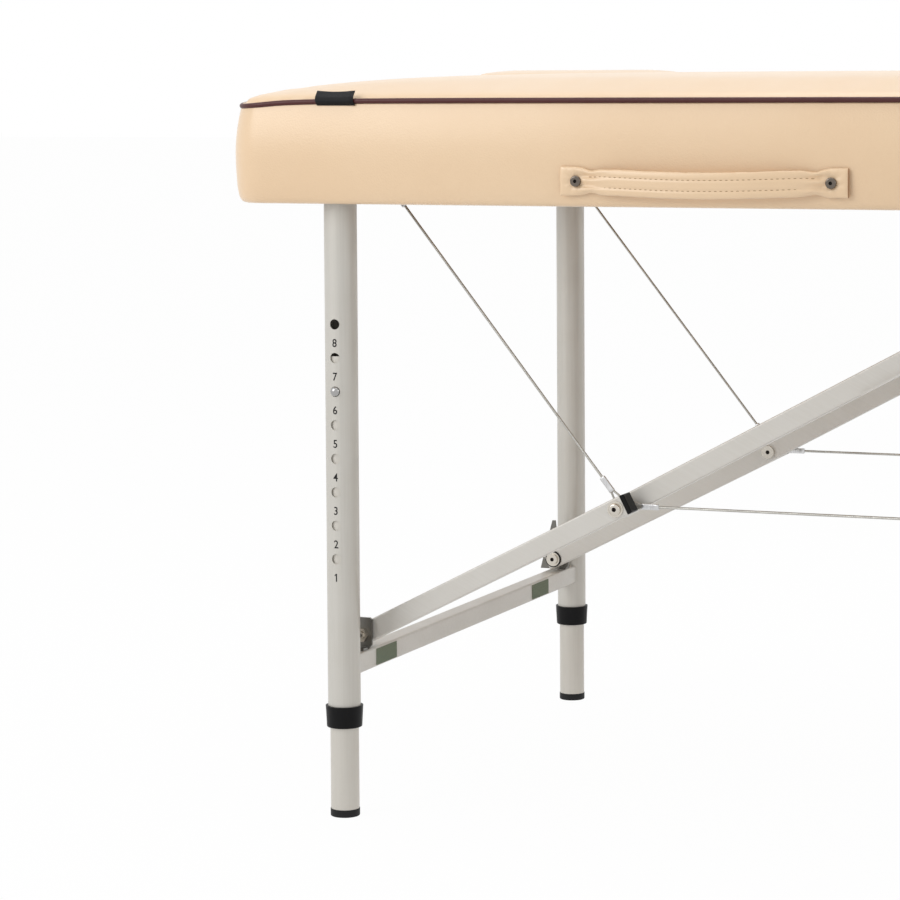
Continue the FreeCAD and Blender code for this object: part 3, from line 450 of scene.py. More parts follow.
def wood_group() -> bpy.types.NodeTree:
    """Long figure of veneer with darker streaks."""
    grain = Grain("wood_figure", {"Scale": 30.0, "Streak": 0.06})
    w = grain.wiring
    along = w.stretched(grain.entries["Vector"], X=grain.entries["Streak"], Y=1.0, Z=1.0)
    rings = w.noise(along, grain.entries["Scale"], 8.0, Distortion=0.8)
    return grain.close(rings, w.remap(rings, 0.3, 0.7, 0.0, 1.0))


@dataclass(frozen=True)
class Finish:
    """One finish of the table: two tones, a grain, and how it takes light."""

    name: str
    light: Sequence[int]
    dark: Sequence[int]
    pattern: Pattern
    roughness: float
    spread: float = 0.08
    metallic: float = 0.0
    scale: float = 0.0
    depth: float = 0.0001
    amount: float = 0.4
    gloss: float = 0.5
    coat: float = 0.0
    turn: Point = (0.0, 0.0, 0.0)
    # Painted shade in bolt sockets: |x| and z of each bolt's axis, and the shaded radius.
    wells: Sequence[tuple[float, float]] = ()
    well_radius: float = 0.0022

    def build(self, groups: dict[Pattern, bpy.types.NodeTree]) -> bpy.types.Material:
        """Make the material from the shared groups.

        Args:
            groups: The node group of each pattern.

        Returns:
            The finished material.
        """
        material = bpy.data.materials.new(self.name)
        material.use_nodes = True
        w = Wiring(material.node_tree)
        shader = material.node_tree.nodes["Principled BSDF"]
        place = w.add("ShaderNodeTexCoord").outputs["Object"]
        if any(self.turn):
            turned = w.feed(w.add("ShaderNodeMapping"), Vector=place, Rotation=self.turn)
            place = turned.outputs[0]
        grain = w.add("ShaderNodeGroup", node_tree=groups[self.pattern])
        w.feed(grain, Vector=place)
        if self.scale:
            w.feed(grain, Scale=self.scale)
        tone = grain.outputs["Tone"]
        share = w.sums("MULTIPLY", tone, self.amount)
        colour = w.mixed(share, linear(self.light), linear(self.dark))
        # Painted shade darkens the key socket of each listed bolt.
        for bolt_axis in self.wells:
            colour = self.darken_well(w, place, colour, bolt_axis)
        bump = w.feed(w.add("ShaderNodeBump"), Height=grain.outputs["Height"],
                      Distance=self.depth, Strength=0.6)
        low, high = self.roughness - self.spread, self.roughness + self.spread
        w.feed(shader, Base_Color=colour, Normal=bump.outputs[0], Metallic=self.metallic,
               Roughness=w.remap(tone, 0.0, 1.0, low, high), Specular_IOR_Level=self.gloss,
               Coat_Weight=self.coat, Coat_Roughness=COAT_ROUGHNESS)
        return material

    def darken_well(self, w: Wiring, place: Socket, colour: Socket,
                    bolt_axis: tuple[float, float]) -> Socket:
        """Paint shade in the key socket of a bolt across the table, and of its mirrored twin.

        Args:
            w: The material's wiring.
            place: The place on the piece.
            colour: The colour so far.
            bolt_axis: How far along from the middle and how high the bolt's axis is.

        Returns:
            The colour with painted shade in the socket.
        """
        parts = w.feed(w.add("ShaderNodeSeparateXYZ"), Vector=place)
        along = w.sums("SUBTRACT", w.sums("ABSOLUTE", parts.outputs["X"], 0.0), bolt_axis[0])
        up = w.sums("SUBTRACT", parts.outputs["Z"], bolt_axis[1])
        reach = w.sums("ADD", w.sums("MULTIPLY", along, along), w.sums("MULTIPLY", up, up))
        # Mask of the socket where the painted shade goes.
        inside = w.sums("LESS_THAN", reach, self.well_radius ** 2)
        return w.mixed(inside, colour, linear(SOCKET_SHADE_COLOUR))


FINISHES = (
    Finish("cream_leather", (241, 211, 174), (233, 200, 161), Pattern.LEATHER, 0.37, 0.04,
           scale=620, depth=0.00025, amount=0.7, coat=0.6),
    Finish("burgundy_piping", (80, 34, 33), (56, 22, 22), Pattern.LEATHER, 0.4, 0.06, scale=900,
           depth=0.0002, gloss=0.35),
    Finish("tan_thread", (176, 140, 100), (140, 106, 72), Pattern.WOVEN, 0.7, scale=900,
           depth=0.0001),
    Finish("raw_leather_edge", (176, 132, 96), (134, 96, 66), Pattern.CAST, 0.75, scale=1500,
           depth=0.0002, amount=0.8),
    Finish("champagne_tube", (206, 203, 196), (194, 190, 181), Pattern.DRAWN, 0.4, 0.05,
           metallic=0.35, scale=700, depth=0.00004, amount=0.3),
    Finish("champagne_inner", (210, 206, 198), (199, 194, 184), Pattern.DRAWN, 0.36, 0.05,
           metallic=0.35, scale=700, depth=0.00004, amount=0.3),
    Finish("champagne_link", (212, 209, 203), (202, 198, 190), Pattern.DRAWN, 0.42, 0.05,
           metallic=0.3, scale=500, depth=0.00003, amount=0.3, turn=(0.0, 1.1, 0.0)),
    Finish("blackened_steel", (118, 116, 111), (86, 84, 80), Pattern.CAST, 0.42, 0.12, metallic=0.8,
           scale=900, depth=0.00005),
    # The screw and bolt finishes paint shade into the key sockets of the listed bolts.
    Finish("bronzed_screw", (112, 104, 96), (62, 56, 50), Pattern.CAST, 0.24, 0.08, metallic=1.0,
           scale=1200, depth=0.00003, wells=((0.6088, 0.6245), (0.3642, 0.6245)),
           well_radius=0.0017),
    Finish("bright_steel", (206, 200, 190), (170, 162, 150), Pattern.CAST, 0.26, 0.08, metallic=1.0,
           scale=1400, depth=0.00003, wells=((0.6035, 0.308), (0.868, 0.172))),
    Finish("chrome", (168, 167, 166), (112, 110, 108), Pattern.CAST, 0.2, 0.08, metallic=1.0,
           scale=600, depth=0.00001),
    Finish("wire_rope", (196, 194, 188), (128, 124, 116), Pattern.DRAWN, 0.32, 0.08, metallic=0.9,
           scale=1500, depth=0.00005),
    Finish("pressed_ferrule", (218, 218, 218), (176, 176, 178), Pattern.DRAWN, 0.3, 0.1,
           metallic=0.9, scale=900, depth=0.00008),
    Finish("moulded_black", (12, 12, 13), (26, 26, 27), Pattern.CAST, 0.5, 0.08, scale=1600,
           depth=0.00005, gloss=0.15),
    Finish("black_rubber", (14, 14, 15), (34, 33, 32), Pattern.CAST, 0.66, 0.08, scale=1100,
           depth=0.0001, gloss=0.3),
    Finish("black_ribbon", (9, 9, 11), (24, 24, 28), Pattern.WOVEN, 0.5, 0.08, scale=1100,
           depth=0.00008, gloss=0.2),
    Finish("hook_tape", (92, 103, 88), (150, 161, 142), Pattern.WOVEN, 0.85, 0.05, scale=210,
           depth=0.0004, amount=1.0, gloss=0.2),
    Finish("printed_ink", (14, 14, 15), (34, 34, 36), Pattern.CAST, 0.5, 0.05, scale=900,
           depth=0.00001, gloss=0.3),
    Finish("birch_ply", (206, 172, 128), (170, 130, 86), Pattern.WOOD, 0.55, 0.08, scale=24,
           depth=0.0002, amount=0.8),
)


@dataclass
class Workshop:
    """Holds the finishes and dresses pieces with them."""

    materials: dict[str, bpy.types.Material] = field(default_factory=dict)

    def stock(self) -> None:
        """Build every finish once."""
        groups = {
            Pattern.LEATHER: leather_group(),
            Pattern.DRAWN: drawn_group(),
            Pattern.CAST: cast_group(),
            Pattern.WOVEN: woven_group(),
            Pattern.WOOD: wood_group(),
        }
        self.materials = {f.name: f.build(groups) for f in FINISHES}

    def dress(self, obj: Piece, finish: str) -> Piece:
        """Give a whole piece one finish."""
        obj.data.materials.clear()
        obj.data.materials.append(self.materials[finish])
        return obj


# ------------------------------------------------------------------ upholstery

@dataclass
class Pad:
    """The padded half of the table: boxed sides, a crowned top, piping and the face-hole plug."""

    shop: Workshop
    bottom: float = 0.600
    seam: float = 0.6975
    panel_bottom: float = 0.6815
    panel_rise: float = 0.0018
    panel_gap: float = 0.0012
    flange: float = 0.015
    corner: float = 0.040
    step: float = 0.0084
    crown: float = 0.0200
    roll: float = 0.0035
    roll_reach: float = 0.009
    piping_inset: float = 0.0074
    piping_rise: float = 0.0016
    corner_dip: float = 0.0052
    corner_reach: float = 0.045
    hole_room: float = 0.0008
    side_fall: float = 0.048
    end_fall: float = 0.083
    middle_fall: float = 0.011
    lip: float = 0.0195
    leather: float = 0.0016
    bead: float = 0.0026
    band_grid: float = 0.024
    panel_grid: float = 0.0125
    band_levels: Sequence[float] = (0.6012, 0.6035, 0.607, 0.612, 0.620, 0.635, 0.648, 0.660,
                                    0.672, 0.684, 0.692, 0.6955)
    side_marks: Sequence[tuple[float, float]] = (
        (0.600, 0.0098), (0.6012, 0.0066), (0.6035, 0.0045), (0.607, 0.0031), (0.612, 0.0020),
        (0.620, 0.0011), (0.635, 0.0003), (0.648, 0.0), (0.660, 0.0006), (0.672, 0.0020),
        (0.684, 0.0042), (0.6955, 0.0070), (0.720, 0.0080))
    low: Vector = field(default_factory=Vector)
    high: Vector = field(default_factory=Vector)
    hole_low: Vector = field(default_factory=Vector)
    hole_high: Vector = field(default_factory=Vector)

    def measure(self) -> None:
        """Read the half's place from the frame."""
        self.low, self.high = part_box("left_cover")
        self.hole_low, self.hole_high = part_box("face_hole_plug")

    def inward(self, point: Vector) -> tuple[Vector, float]:
        """Find the way in from the nearest outer side, and how deep a point lies.

        Args:
            point: A point of the left half.

        Returns:
            The direction in, and the distance from the rounded outline.
        """
        cx = max(self.low.x + self.corner, point.x)
        cy = min(max(point.y, self.low.y + self.corner), self.high.y - self.corner)
        arm = Vector((point.x - cx, point.y - cy, 0.0))
        if arm.length > 1e-6:
            return -arm.normalized(), self.corner - arm.length
        sides = ((point.x - self.low.x, Vector((1, 0, 0))),
                 (point.y - self.low.y, Vector((0, 1, 0))),
                 (self.high.y - point.y, Vector((0, -1, 0))))
        depth, way = min(sides, key=lambda s: s[0])
        return way, depth

    def side_profile(self, height: float) -> float:
        """How far the side stands in from its fullest, at a height."""
        marks = self.side_marks
        for (z0, d0), (z1, d1) in zip(marks, marks[1:]):
            if height <= z1:
                return d0 + (d1 - d0) * max(0.0, height - z0) / (z1 - z0)
        return marks[-1][1]

    def round_corners(self, obj: Piece, inset: float, segments: int) -> None:
        """Round the two upright corners at the outer end of a block that stands in by an inset."""
        end = self.low.x + inset + 1e-4
        choose_edges(obj, lambda a, b: max(a.x, b.x) < end and abs(a.y - b.y) < 1e-5)
        bpy.ops.mesh.bevel(offset=self.corner - inset, segments=segments, affect="EDGES")

    def band(self) -> Piece:
        """Sew the boxed side band, turned in under the rails and under the seam."""
        obj = block("left_side_band", (self.low.x, self.low.y, self.bottom),
                    (self.high.x, self.high.y, self.seam))
        choose(obj, "FACE", lambda v: v.z > self.seam - 1e-4)
        bpy.ops.mesh.delete(type="FACE")
        choose(obj, "FACE", lambda v: v.z < self.bottom + 1e-4)
        bpy.ops.mesh.delete(type="FACE")
        self.round_corners(obj, 0.0, 10)
        slice_at(obj, 2, self.band_levels)
        slice_at(obj, 0, spread(self.low.x + self.corner, self.high.x, self.band_grid))
        slice_at(obj, 1, spread(self.low.y + self.corner, self.high.y - self.corner,
                                self.band_grid))
        for level, reach in ((self.bottom, self.lip), (self.seam, self.flange)):
            choose(obj, "EDGE", lambda v, z=level: abs(v.z - z) < 1e-4)
            bpy.ops.mesh.extrude_region_move(TRANSFORM_OT_translate={"value": (0, 0, 0)})
            mesh = bmesh.from_edit_mesh(obj.data)
            for vertex in [v for v in mesh.verts if v.select]:
                vertex.co = self.drawn_in(vertex.co, reach)
            bmesh.update_edit_mesh(obj.data)
        leave_edit()
        shape(obj, self.bulged)
        outwards(obj)
        finish_with(obj, "SOLIDIFY", thickness=self.leather, offset=-1.0)
        finish_with(obj, "SUBSURF", levels=1, render_levels=1)
        return smooth(obj, 50)

    def drawn_in(self, point: Vector, reach: float) -> Vector:
        """Move a point on the outline inwards, square to its sides."""
        x = min(max(point.x, self.low.x + reach), self.high.x - reach)
        y = min(max(point.y, self.low.y + reach), self.high.y - reach)
        way, depth = self.inward(point)
        if abs(way.x) > 0.01 and abs(way.y) > 0.01 and depth < reach:
            moved = point + way * (reach - depth)
            return Vector((moved.x, moved.y, point.z))
        return Vector((x, y, point.z))

    def bulged(self, point: Vector) -> Vector:
        """Give a point of the side band the soft swell of foam under leather."""
        way, depth = self.inward(point)
        near_middle = point.x > self.high.x - 0.003
        if near_middle:
            point.x -= 0.35 * self.side_profile(point.z)
        if depth < 0.003:
            swell = 0.0005 * noise.noise(Vector((point.x * 9, point.y * 9, point.z * 14)))
            moved = point + way * (self.side_profile(point.z) + swell + 0.0003)
            if near_middle:
                moved.x = min(moved.x, point.x)
            return moved
        return point

    def top_height(self, point: Vector) -> float:
        """Height of the crowned top over a point of the left half."""
        rise = 1.0
        for depth, fall in ((point.x - self.low.x - self.step, self.end_fall),
                            (point.y - self.low.y - self.step, self.side_fall),
                            (self.high.y - self.step - point.y, self.side_fall),
                            (self.high.x - point.x, self.middle_fall)):
            rise *= 1.0 - math.exp(-max(depth, 0.0) / fall - 0.06)
        depth = self.inward(point)[1]
        edge = self.roll * (1.0 - math.exp(-max(depth - self.step, 0.0) / self.roll_reach))
        return self.seam + self.panel_rise + self.crown * rise + edge

    def panel(self) -> Piece:
        """Cut and stuff the top panel: a crowned cushion over the foam."""
        edge = self.step + self.panel_gap
        obj = block("top_panel", (self.low.x + edge, self.low.y + edge, self.panel_bottom),
                    (self.high.x - 0.0009, self.high.y - edge, self.seam + self.panel_rise))
        self.round_corners(obj, edge, 8)
        along = spread(self.low.x + 0.014, self.high.x - 0.012, self.panel_grid)
        across = spread(self.low.y + 0.014, self.high.y - 0.014, self.panel_grid)
        slice_at(obj, 0, [self.low.x + 0.009, *along, self.high.x - 0.012, self.high.x - 0.005,
                          self.high.x - 0.0022])
        slice_at(obj, 1, [self.low.y + 0.009, *across, self.high.y - 0.009])
        top = self.seam + self.panel_rise

        def crowned(point: Vector) -> Vector:
            """Lift the upper face to the crown."""
            if point.z > top - 1e-4:
                point.z = self.top_height(point)
            return point

        shape(obj, crowned)
        self.stuff(obj)
        finish_with(obj, "SUBSURF", levels=1, render_levels=1)
        return obj

    def stuff(self, obj: Piece, cap: float = 0.0022, frames: int = 16) -> None:
        """Let the leather settle over its filling with a short cloth simulation.

        Args:
            obj: The crowned panel.
            cap: The most that a point may move.
            frames: How many frames the cloth is given.
        """
        rest = [v.co.copy() for v in obj.data.vertices]
        held = obj.vertex_groups.new(name="held")
        middle = self.high.x - 0.004
        rim = [v.index for v in obj.data.vertices if v.co.z < self.seam + 0.004 or v.co.x > middle]
        held.add(rim, 1.0, "REPLACE")
        only(obj)
        cloth = obj.modifiers.new("Cloth", "CLOTH")
        cloth.settings.vertex_group_mass = "held"
        cloth.settings.use_pressure = True
        cloth.settings.uniform_pressure_force = 3.0
        cloth.settings.quality = 4
        cloth.settings.shrink_min = -0.004
        cloth.settings.effector_weights.gravity = 0.0
        scene = bpy.context.scene
        for number in range(1, frames + 1):
            scene.frame_set(number)
        bpy.ops.object.modifier_apply(modifier=cloth.name)
        scene.frame_set(1)
        obj.vertex_groups.clear()
        for vertex, start in zip(obj.data.vertices, rest):
            move = vertex.co - start
            if move.length > cap:
                vertex.co = start + move * (cap / move.length)

    def slot_prism(self, name: str, grow: float, low: float, high: float,
                   segments: int = 14) -> Piece:
        """Make the long round-ended column of the face hole, larger all round by an amount."""
        obj = block(name, (self.hole_low.x - grow, self.hole_low.y - grow, low),
                    (self.hole_high.x + grow, self.hole_high.y + grow, high))
        choose_edges(obj, lambda a, b: abs(a.z - b.z) > 1e-4)
        radius = (self.hole_high.y - self.hole_low.y) / 2 + grow
        bpy.ops.mesh.bevel(offset=radius * 0.999, segments=segments, affect="EDGES")
        bpy.ops.mesh.select_all(action="SELECT")
        bpy.ops.mesh.remove_doubles(threshold=0.0006)
        leave_edit()
        return obj

    def cut_hole(self, panel: Piece) -> None:
        """Cut the face hole through the left panel."""
        tool = self.slot_prism("hole_tool", self.hole_room, 0.6, 0.8)
        finish_with(panel, "BOOLEAN", object=tool, operation="DIFFERENCE", solver="EXACT")
        bpy.data.objects.remove(tool)

    def plug(self) -> Piece:
        """Upholster the plug that fills the face hole, a little proud of the top."""
        shoulder, crown = 0.0065, 0.0038
        top = self.hole_high.z - crown - 0.0002
        obj = self.slot_prism("face_plug_cushion", -0.0006, self.hole_low.z, top)
        rings = [top - shoulder * (1 - k / 5) for k in range(5)]
        slice_at(obj, 2, [self.hole_low.z + 0.012, *rings])
        choose(obj, "FACE", lambda v: v.z > top - 1e-5)
        for thickness in (0.0085, 0.012, 0.018):
            bpy.ops.mesh.inset(thickness=thickness)
        leave_edit()
        radius = (self.hole_high.y - self.hole_low.y) / 2
        middle = (self.hole_high.y + self.hole_low.y) / 2

        def stuffed(point: Vector) -> Vector:
            """Round the shoulder and crown the top."""
            if point.z < top - shoulder:
                return point
            x = min(max(point.x, self.hole_low.x + radius), self.hole_high.x - radius)
            arm = Vector((point.x - x, point.y - middle, 0.0))
            depth = radius - arm.length
            if depth < 0.003:
                turn = math.pi / 2 * (point.z - top + shoulder) / shoulder
                moved = point - arm.normalized() * shoulder * (1 - math.cos(turn))
                return Vector((moved.x, moved.y, top - shoulder + shoulder * math.sin(turn)))
            share = min(1.0, (radius - depth) / (radius - shoulder))
            point.z += crown * (1.0 - share ** 2) ** 0.8
            return point

        shape(obj, stuffed)
        return smooth(obj, 60)

    def piping_line(self) -> list[Vector]:
        """Points of the piping's line round the three outer sides, dipping at the corners."""
        inset = self.piping_inset
        points = []
        end_x, side = self.low.x + inset, self.high.y - inset
        turn = self.corner - inset
        steps = 18
        along = (self.high.x - 0.0004, -0.2, -0.5, -0.8, end_x + turn + 0.03)
        run = [Vector((x, -side, 0)) for x in along]
        bends = []
        for k in range(steps + 1):
            angle = math.pi / 2 * k / steps
            bends.append(Vector((end_x + turn - turn * math.sin(angle),
                                 -side + turn - turn * math.cos(angle), 0)))
        end = [Vector((end_x, y, 0)) for y in (-0.27, -0.1)]
        first = [*run, *bends, *end]
        line = first + [Vector((p.x, -p.y, 0)) for p in reversed(first)]
        corner = Vector((end_x + turn * 0.3, side - turn * 0.3, 0))
        for p in line:
            away = (Vector((p.x, abs(p.y), 0)) - corner).length
            dip = self.corner_dip * bell(away, self.corner_reach)
            height = self.seam + self.piping_rise - dip
            points.append(Vector((p.x, p.y, height)))
        return points

    def piping(self) -> Piece:
        """Sew in the piping: a round leather cord along the seam."""
        data = bpy.data.curves.new("left_piping_cord", "CURVE")
        data.dimensions = "3D"
        data.bevel_depth = self.bead
        data.bevel_resolution = 5
        data.use_fill_caps = True
        line = self.piping_line()
        spline = data.splines.new("NURBS")
        spline.points.add(len(line) - 1)
        for knot, place in zip(spline.points, line):
            knot.co = (*place, 1.0)
        spline.order_u = 3
        spline.use_endpoint_u = True
        spline.resolution_u = 6
        obj = bpy.data.objects.new("left_piping_cord", data)
        bpy.context.collection.objects.link(obj)
        only(obj)
        bpy.ops.object.convert(target="MESH")
        return smooth(bpy.context.object, 60)

    def tag(self) -> Piece:
        """Fold a short blank ribbon into the seam beside the front corner."""
        low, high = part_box("side_tag")
        rise, leaf = 0.0165, 0.0009
        obj = block("side_ribbon", (low.x, 0.0, 0.0), (high.x, leaf, rise))
        slice_at(obj, 0, spread(low.x, high.x, 0.0035))
        slice_at(obj, 2, spread(0.0, rise, 0.0015))
        face = self.low.y + self.piping_inset - self.bead - 0.0003
        climb = ((0.0, -0.0030, 0.0022), (0.30, 0.0012, -0.0004), (0.52, 0.0048, 0.0008),
                 (1.0, 0.0112, 0.0092))

        def folded(point: Vector) -> Vector:
            """Wrap the ribbon up over the piping, fuller where it is folded back at one end."""
            along = min(max(point.z / rise, 0.0), 1.0)
            across = (point.x - low.x) / (high.x - low.x)
            for (s0, z0, y0), (s1, z1, y1) in zip(climb, climb[1:]):
                if along <= s1:
                    part = (along - s0) / (s1 - s0)
                    up, back = z0 + (z1 - z0) * part, y0 + (y1 - y0) * part
                    break
            full = 1.0 + 2.8 * bell(across - 0.93, 0.10) * (0.3 + 0.7 * along)
            dip = 0.0010 * math.sin(math.pi * across)
            return Vector((point.x - 0.0028 * along + 0.0012,
                           face + back - leaf * full + point.y * full,
                           self.seam + up - dip * along))

        shape(obj, folded)
        finish_with(obj, "BEVEL", width=0.0004, segments=2, limit_method="ANGLE")
        return smooth(obj)

    def make(self) -> None:
        """Upholster both halves and set each piece on its body."""
        self.measure()
        band, panel, piping = self.band(), self.panel(), self.piping()
        right_panel = copy_of(panel, "right_top_panel", MIRROR)
        self.cut_hole(panel)
        panel.name = "left_top_panel"
        pieces = {
            "left": (band, panel, piping),
            "right": (copy_of(band, "right_side_band", MIRROR), right_panel,
                      copy_of(piping, "right_piping_cord", MIRROR)),
        }
        for half, (side, top, cord) in pieces.items():
            body = "root" if half == "left" else "right_deck"
            finishes = ("cream_leather", "cream_leather", "burgundy_piping")
            for obj, finish in zip((side, top, cord), finishes):
                self.shop.dress(obj, finish)
                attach(obj, body)
            smooth(top, 35)
            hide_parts(f"{half}_cover")
            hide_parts(f"{half}_foam_pad")
            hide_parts(f"{half}_piping")
        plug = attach(self.shop.dress(self.plug(), "cream_leather"), "face_plug")
        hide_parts("face_hole_plug")
        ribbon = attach(self.shop.dress(self.tag(), "black_ribbon"), "root")
        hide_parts("side_tag")
        log.info("upholstery: two padded halves, piping, plug and ribbon")


# ------------------------------------------------------------------ carrying straps

@dataclass
class CarryingStrap:
    """A leather strap with gathered ends, two rows of stitches and a bowed grip."""

    shop: Workshop
    tab: float = 0.0255
    grip_height: float = 0.0252
    droop: float = 0.0030
    stitch_rows: float = 0.0050
    stitch_length: float = 0.0036
    screw_inset: float = 0.0165
    stitch_pitch: float = 0.0052
    bow: float = 0.0125
    filling: float = 0.0022
    stitch_depth: float = 0.0008
    gather_depth: float = 0.0011
    fold_depth: float = 0.00035
    screw_dimple: float = 0.0016
    skin: float = 0.0016
    columns: int = 120
    rows: int = 22
    low: Vector = field(default_factory=Vector)
    high: Vector = field(default_factory=Vector)

    def lift(self, share: float) -> float:
        """How far the strap's back stands off the pad at a share of its length, from 0 to 1."""
        length = self.high.x - self.low.x
        start = self.tab / length
        inner = (share - start) / (1 - 2 * start)
        if inner <= 0 or inner >= 1:
            return 0.0
        return self.bow * math.sin(math.pi * inner) ** 0.8

    def sag(self, share: float) -> float:
        """How far the strap hangs below its ends at a share of its length."""
        return self.droop * math.sin(math.pi * min(max(share, 0.0), 1.0)) ** 2

    def face(self, share: float, across: float) -> tuple[float, float]:
        """Half height and padding of the strap.

        Args:
            share: Place along the strap, from 0 to 1.
            across: Place across it, from -1 to 1.

        Returns:
            The half height there, and how far the face swells.
        """
        length = self.high.x - self.low.x
        from_end = min(share, 1 - share) * length
        full = (self.high.z - self.low.z) / 2
        neck = 1.0 - 0.16 * bell(from_end - self.tab - 0.006, 0.007)
        blend = 1 / (1 + math.exp(-(from_end - self.tab) / 0.0035))
        half = (full * (1 - blend) + self.grip_height / 2 * blend) * neck
        valley = bell(abs(across) * half - self.stitch_rows, 0.0009)
        roll = math.sqrt(max(0.0, 1.0 - across ** 4))
        swell = self.filling * roll - self.stitch_depth * valley * blend
        gather = bell(from_end - self.tab - 0.004, 0.013)
        swell += self.gather_depth * gather * math.sin(across * 9.0 + 0.8)
        from_screw = Vector((from_end - self.screw_inset, across * half, 0.0))
        folds = math.sin(7 * math.atan2(from_screw.y, from_screw.x) + 0.6)
        swell += self.fold_depth * folds * bell(from_screw.length - 0.008, 0.004)
        return half, swell - self.screw_dimple * bell(from_screw.length, 0.006)

    def strap(self) -> Piece:
        """Shape the strap from a grid, with its back flat and its face padded."""
        bpy.ops.object.select_all(action="DESELECT")
        bpy.ops.mesh.primitive_grid_add(x_subdivisions=self.columns, y_subdivisions=self.rows,
                                        size=2)
        obj = named("left_strap")
        middle = (self.low.z + self.high.z) / 2
        back = self.high.y

        def placed(point: Vector) -> Vector:
            """Lay the grid out as the strap's face."""
            share, across = (point.x + 1) / 2, point.y
            half, swell = self.face(share, across)
            edge = 0.35 * abs(noise.noise(Vector((share * 30, across * 2, 1.3)))) * 0.002
            if share < 0.001 or share > 0.999:
                swell *= 0.4
            return Vector((self.low.x + share * (self.high.x - self.low.x),
                           back - self.lift(share) - self.skin - swell,
                           middle - self.sag(share) + across * (half - edge * (abs(across) > 0.9))))

        shape(obj, placed)
        outwards(obj)
        if obj.data.polygons[0].normal.y > 0:
            obj.data.flip_normals()
        finish_with(obj, "SOLIDIFY", thickness=0.0014, offset=-1.0)
        finish_with(obj, "SUBSURF", levels=1, render_levels=1)
        self.shop.dress(obj, "cream_leather")
        obj.data.materials.append(self.shop.materials["raw_leather_edge"])
        for face in obj.data.polygons:
            if self.high.x - face.center.x < 0.0016 or face.center.x - self.low.x < 0.0005:
                face.material_index = 1
        return smooth(obj, 60)

    def stitches(self) -> Piece:
        """Sew two rows of short stitches along the grip."""
        bpy.ops.object.select_all(action="DESELECT")
        bpy.ops.mesh.primitive_uv_sphere_add(segments=8, ring_count=6, radius=0.5)
        first = bpy.context.object
        first.scale = (self.stitch_length, 0.0009, 0.0009)
        settle(first)
        middle = (self.low.z + self.high.z) / 2
        length = self.high.x - self.low.x
        parts = []
        count = int((length - 2 * self.tab - 0.006) / self.stitch_pitch)
        for row in (-1, 1):
            for k in range(count):
                share = (self.tab + 0.003 + (k + 0.5) * self.stitch_pitch) / length
                half, swell = self.face(share, self.stitch_rows / (self.grip_height / 2))
                slope = (self.lift(share + 0.004) - self.lift(share - 0.004)) / (0.008 * length)
                up = row * self.stitch_rows * half / (self.grip_height / 2)
                place = Vector((self.low.x + share * length,
                                self.high.y - self.lift(share) - self.skin - 0.00005 - swell,
                                middle - self.sag(share) + up))
                turn = Matrix.Rotation(-math.atan(slope), 4, "Z")
                parts.append(copy_of(first, f"stitch_{row}_{k}", Matrix.Translation(place) @ turn))
        bpy.data.objects.remove(first)
        return merged("left_strap_stitches", parts)

    def make(self) -> None:
        """Make the strap for each half."""
        self.low, self.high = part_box("left_handle")
        strap, thread = self.strap(), self.stitches()
        twins = (copy_of(strap, "right_strap", MIRROR),
                 copy_of(thread, "right_strap_stitches", MIRROR))
        for half, (leather, sewing) in (("left", (strap, thread)), ("right", twins)):
            body = "root" if half == "left" else "right_deck"
            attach(leather, body)
            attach(self.shop.dress(sewing, "tan_thread"), body)
            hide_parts(f"{half}_handle")
        log.info("carrying straps: two, with %d stitches each", len(thread.data.polygons) // 48)


# ------------------------------------------------------------------ printed numbers

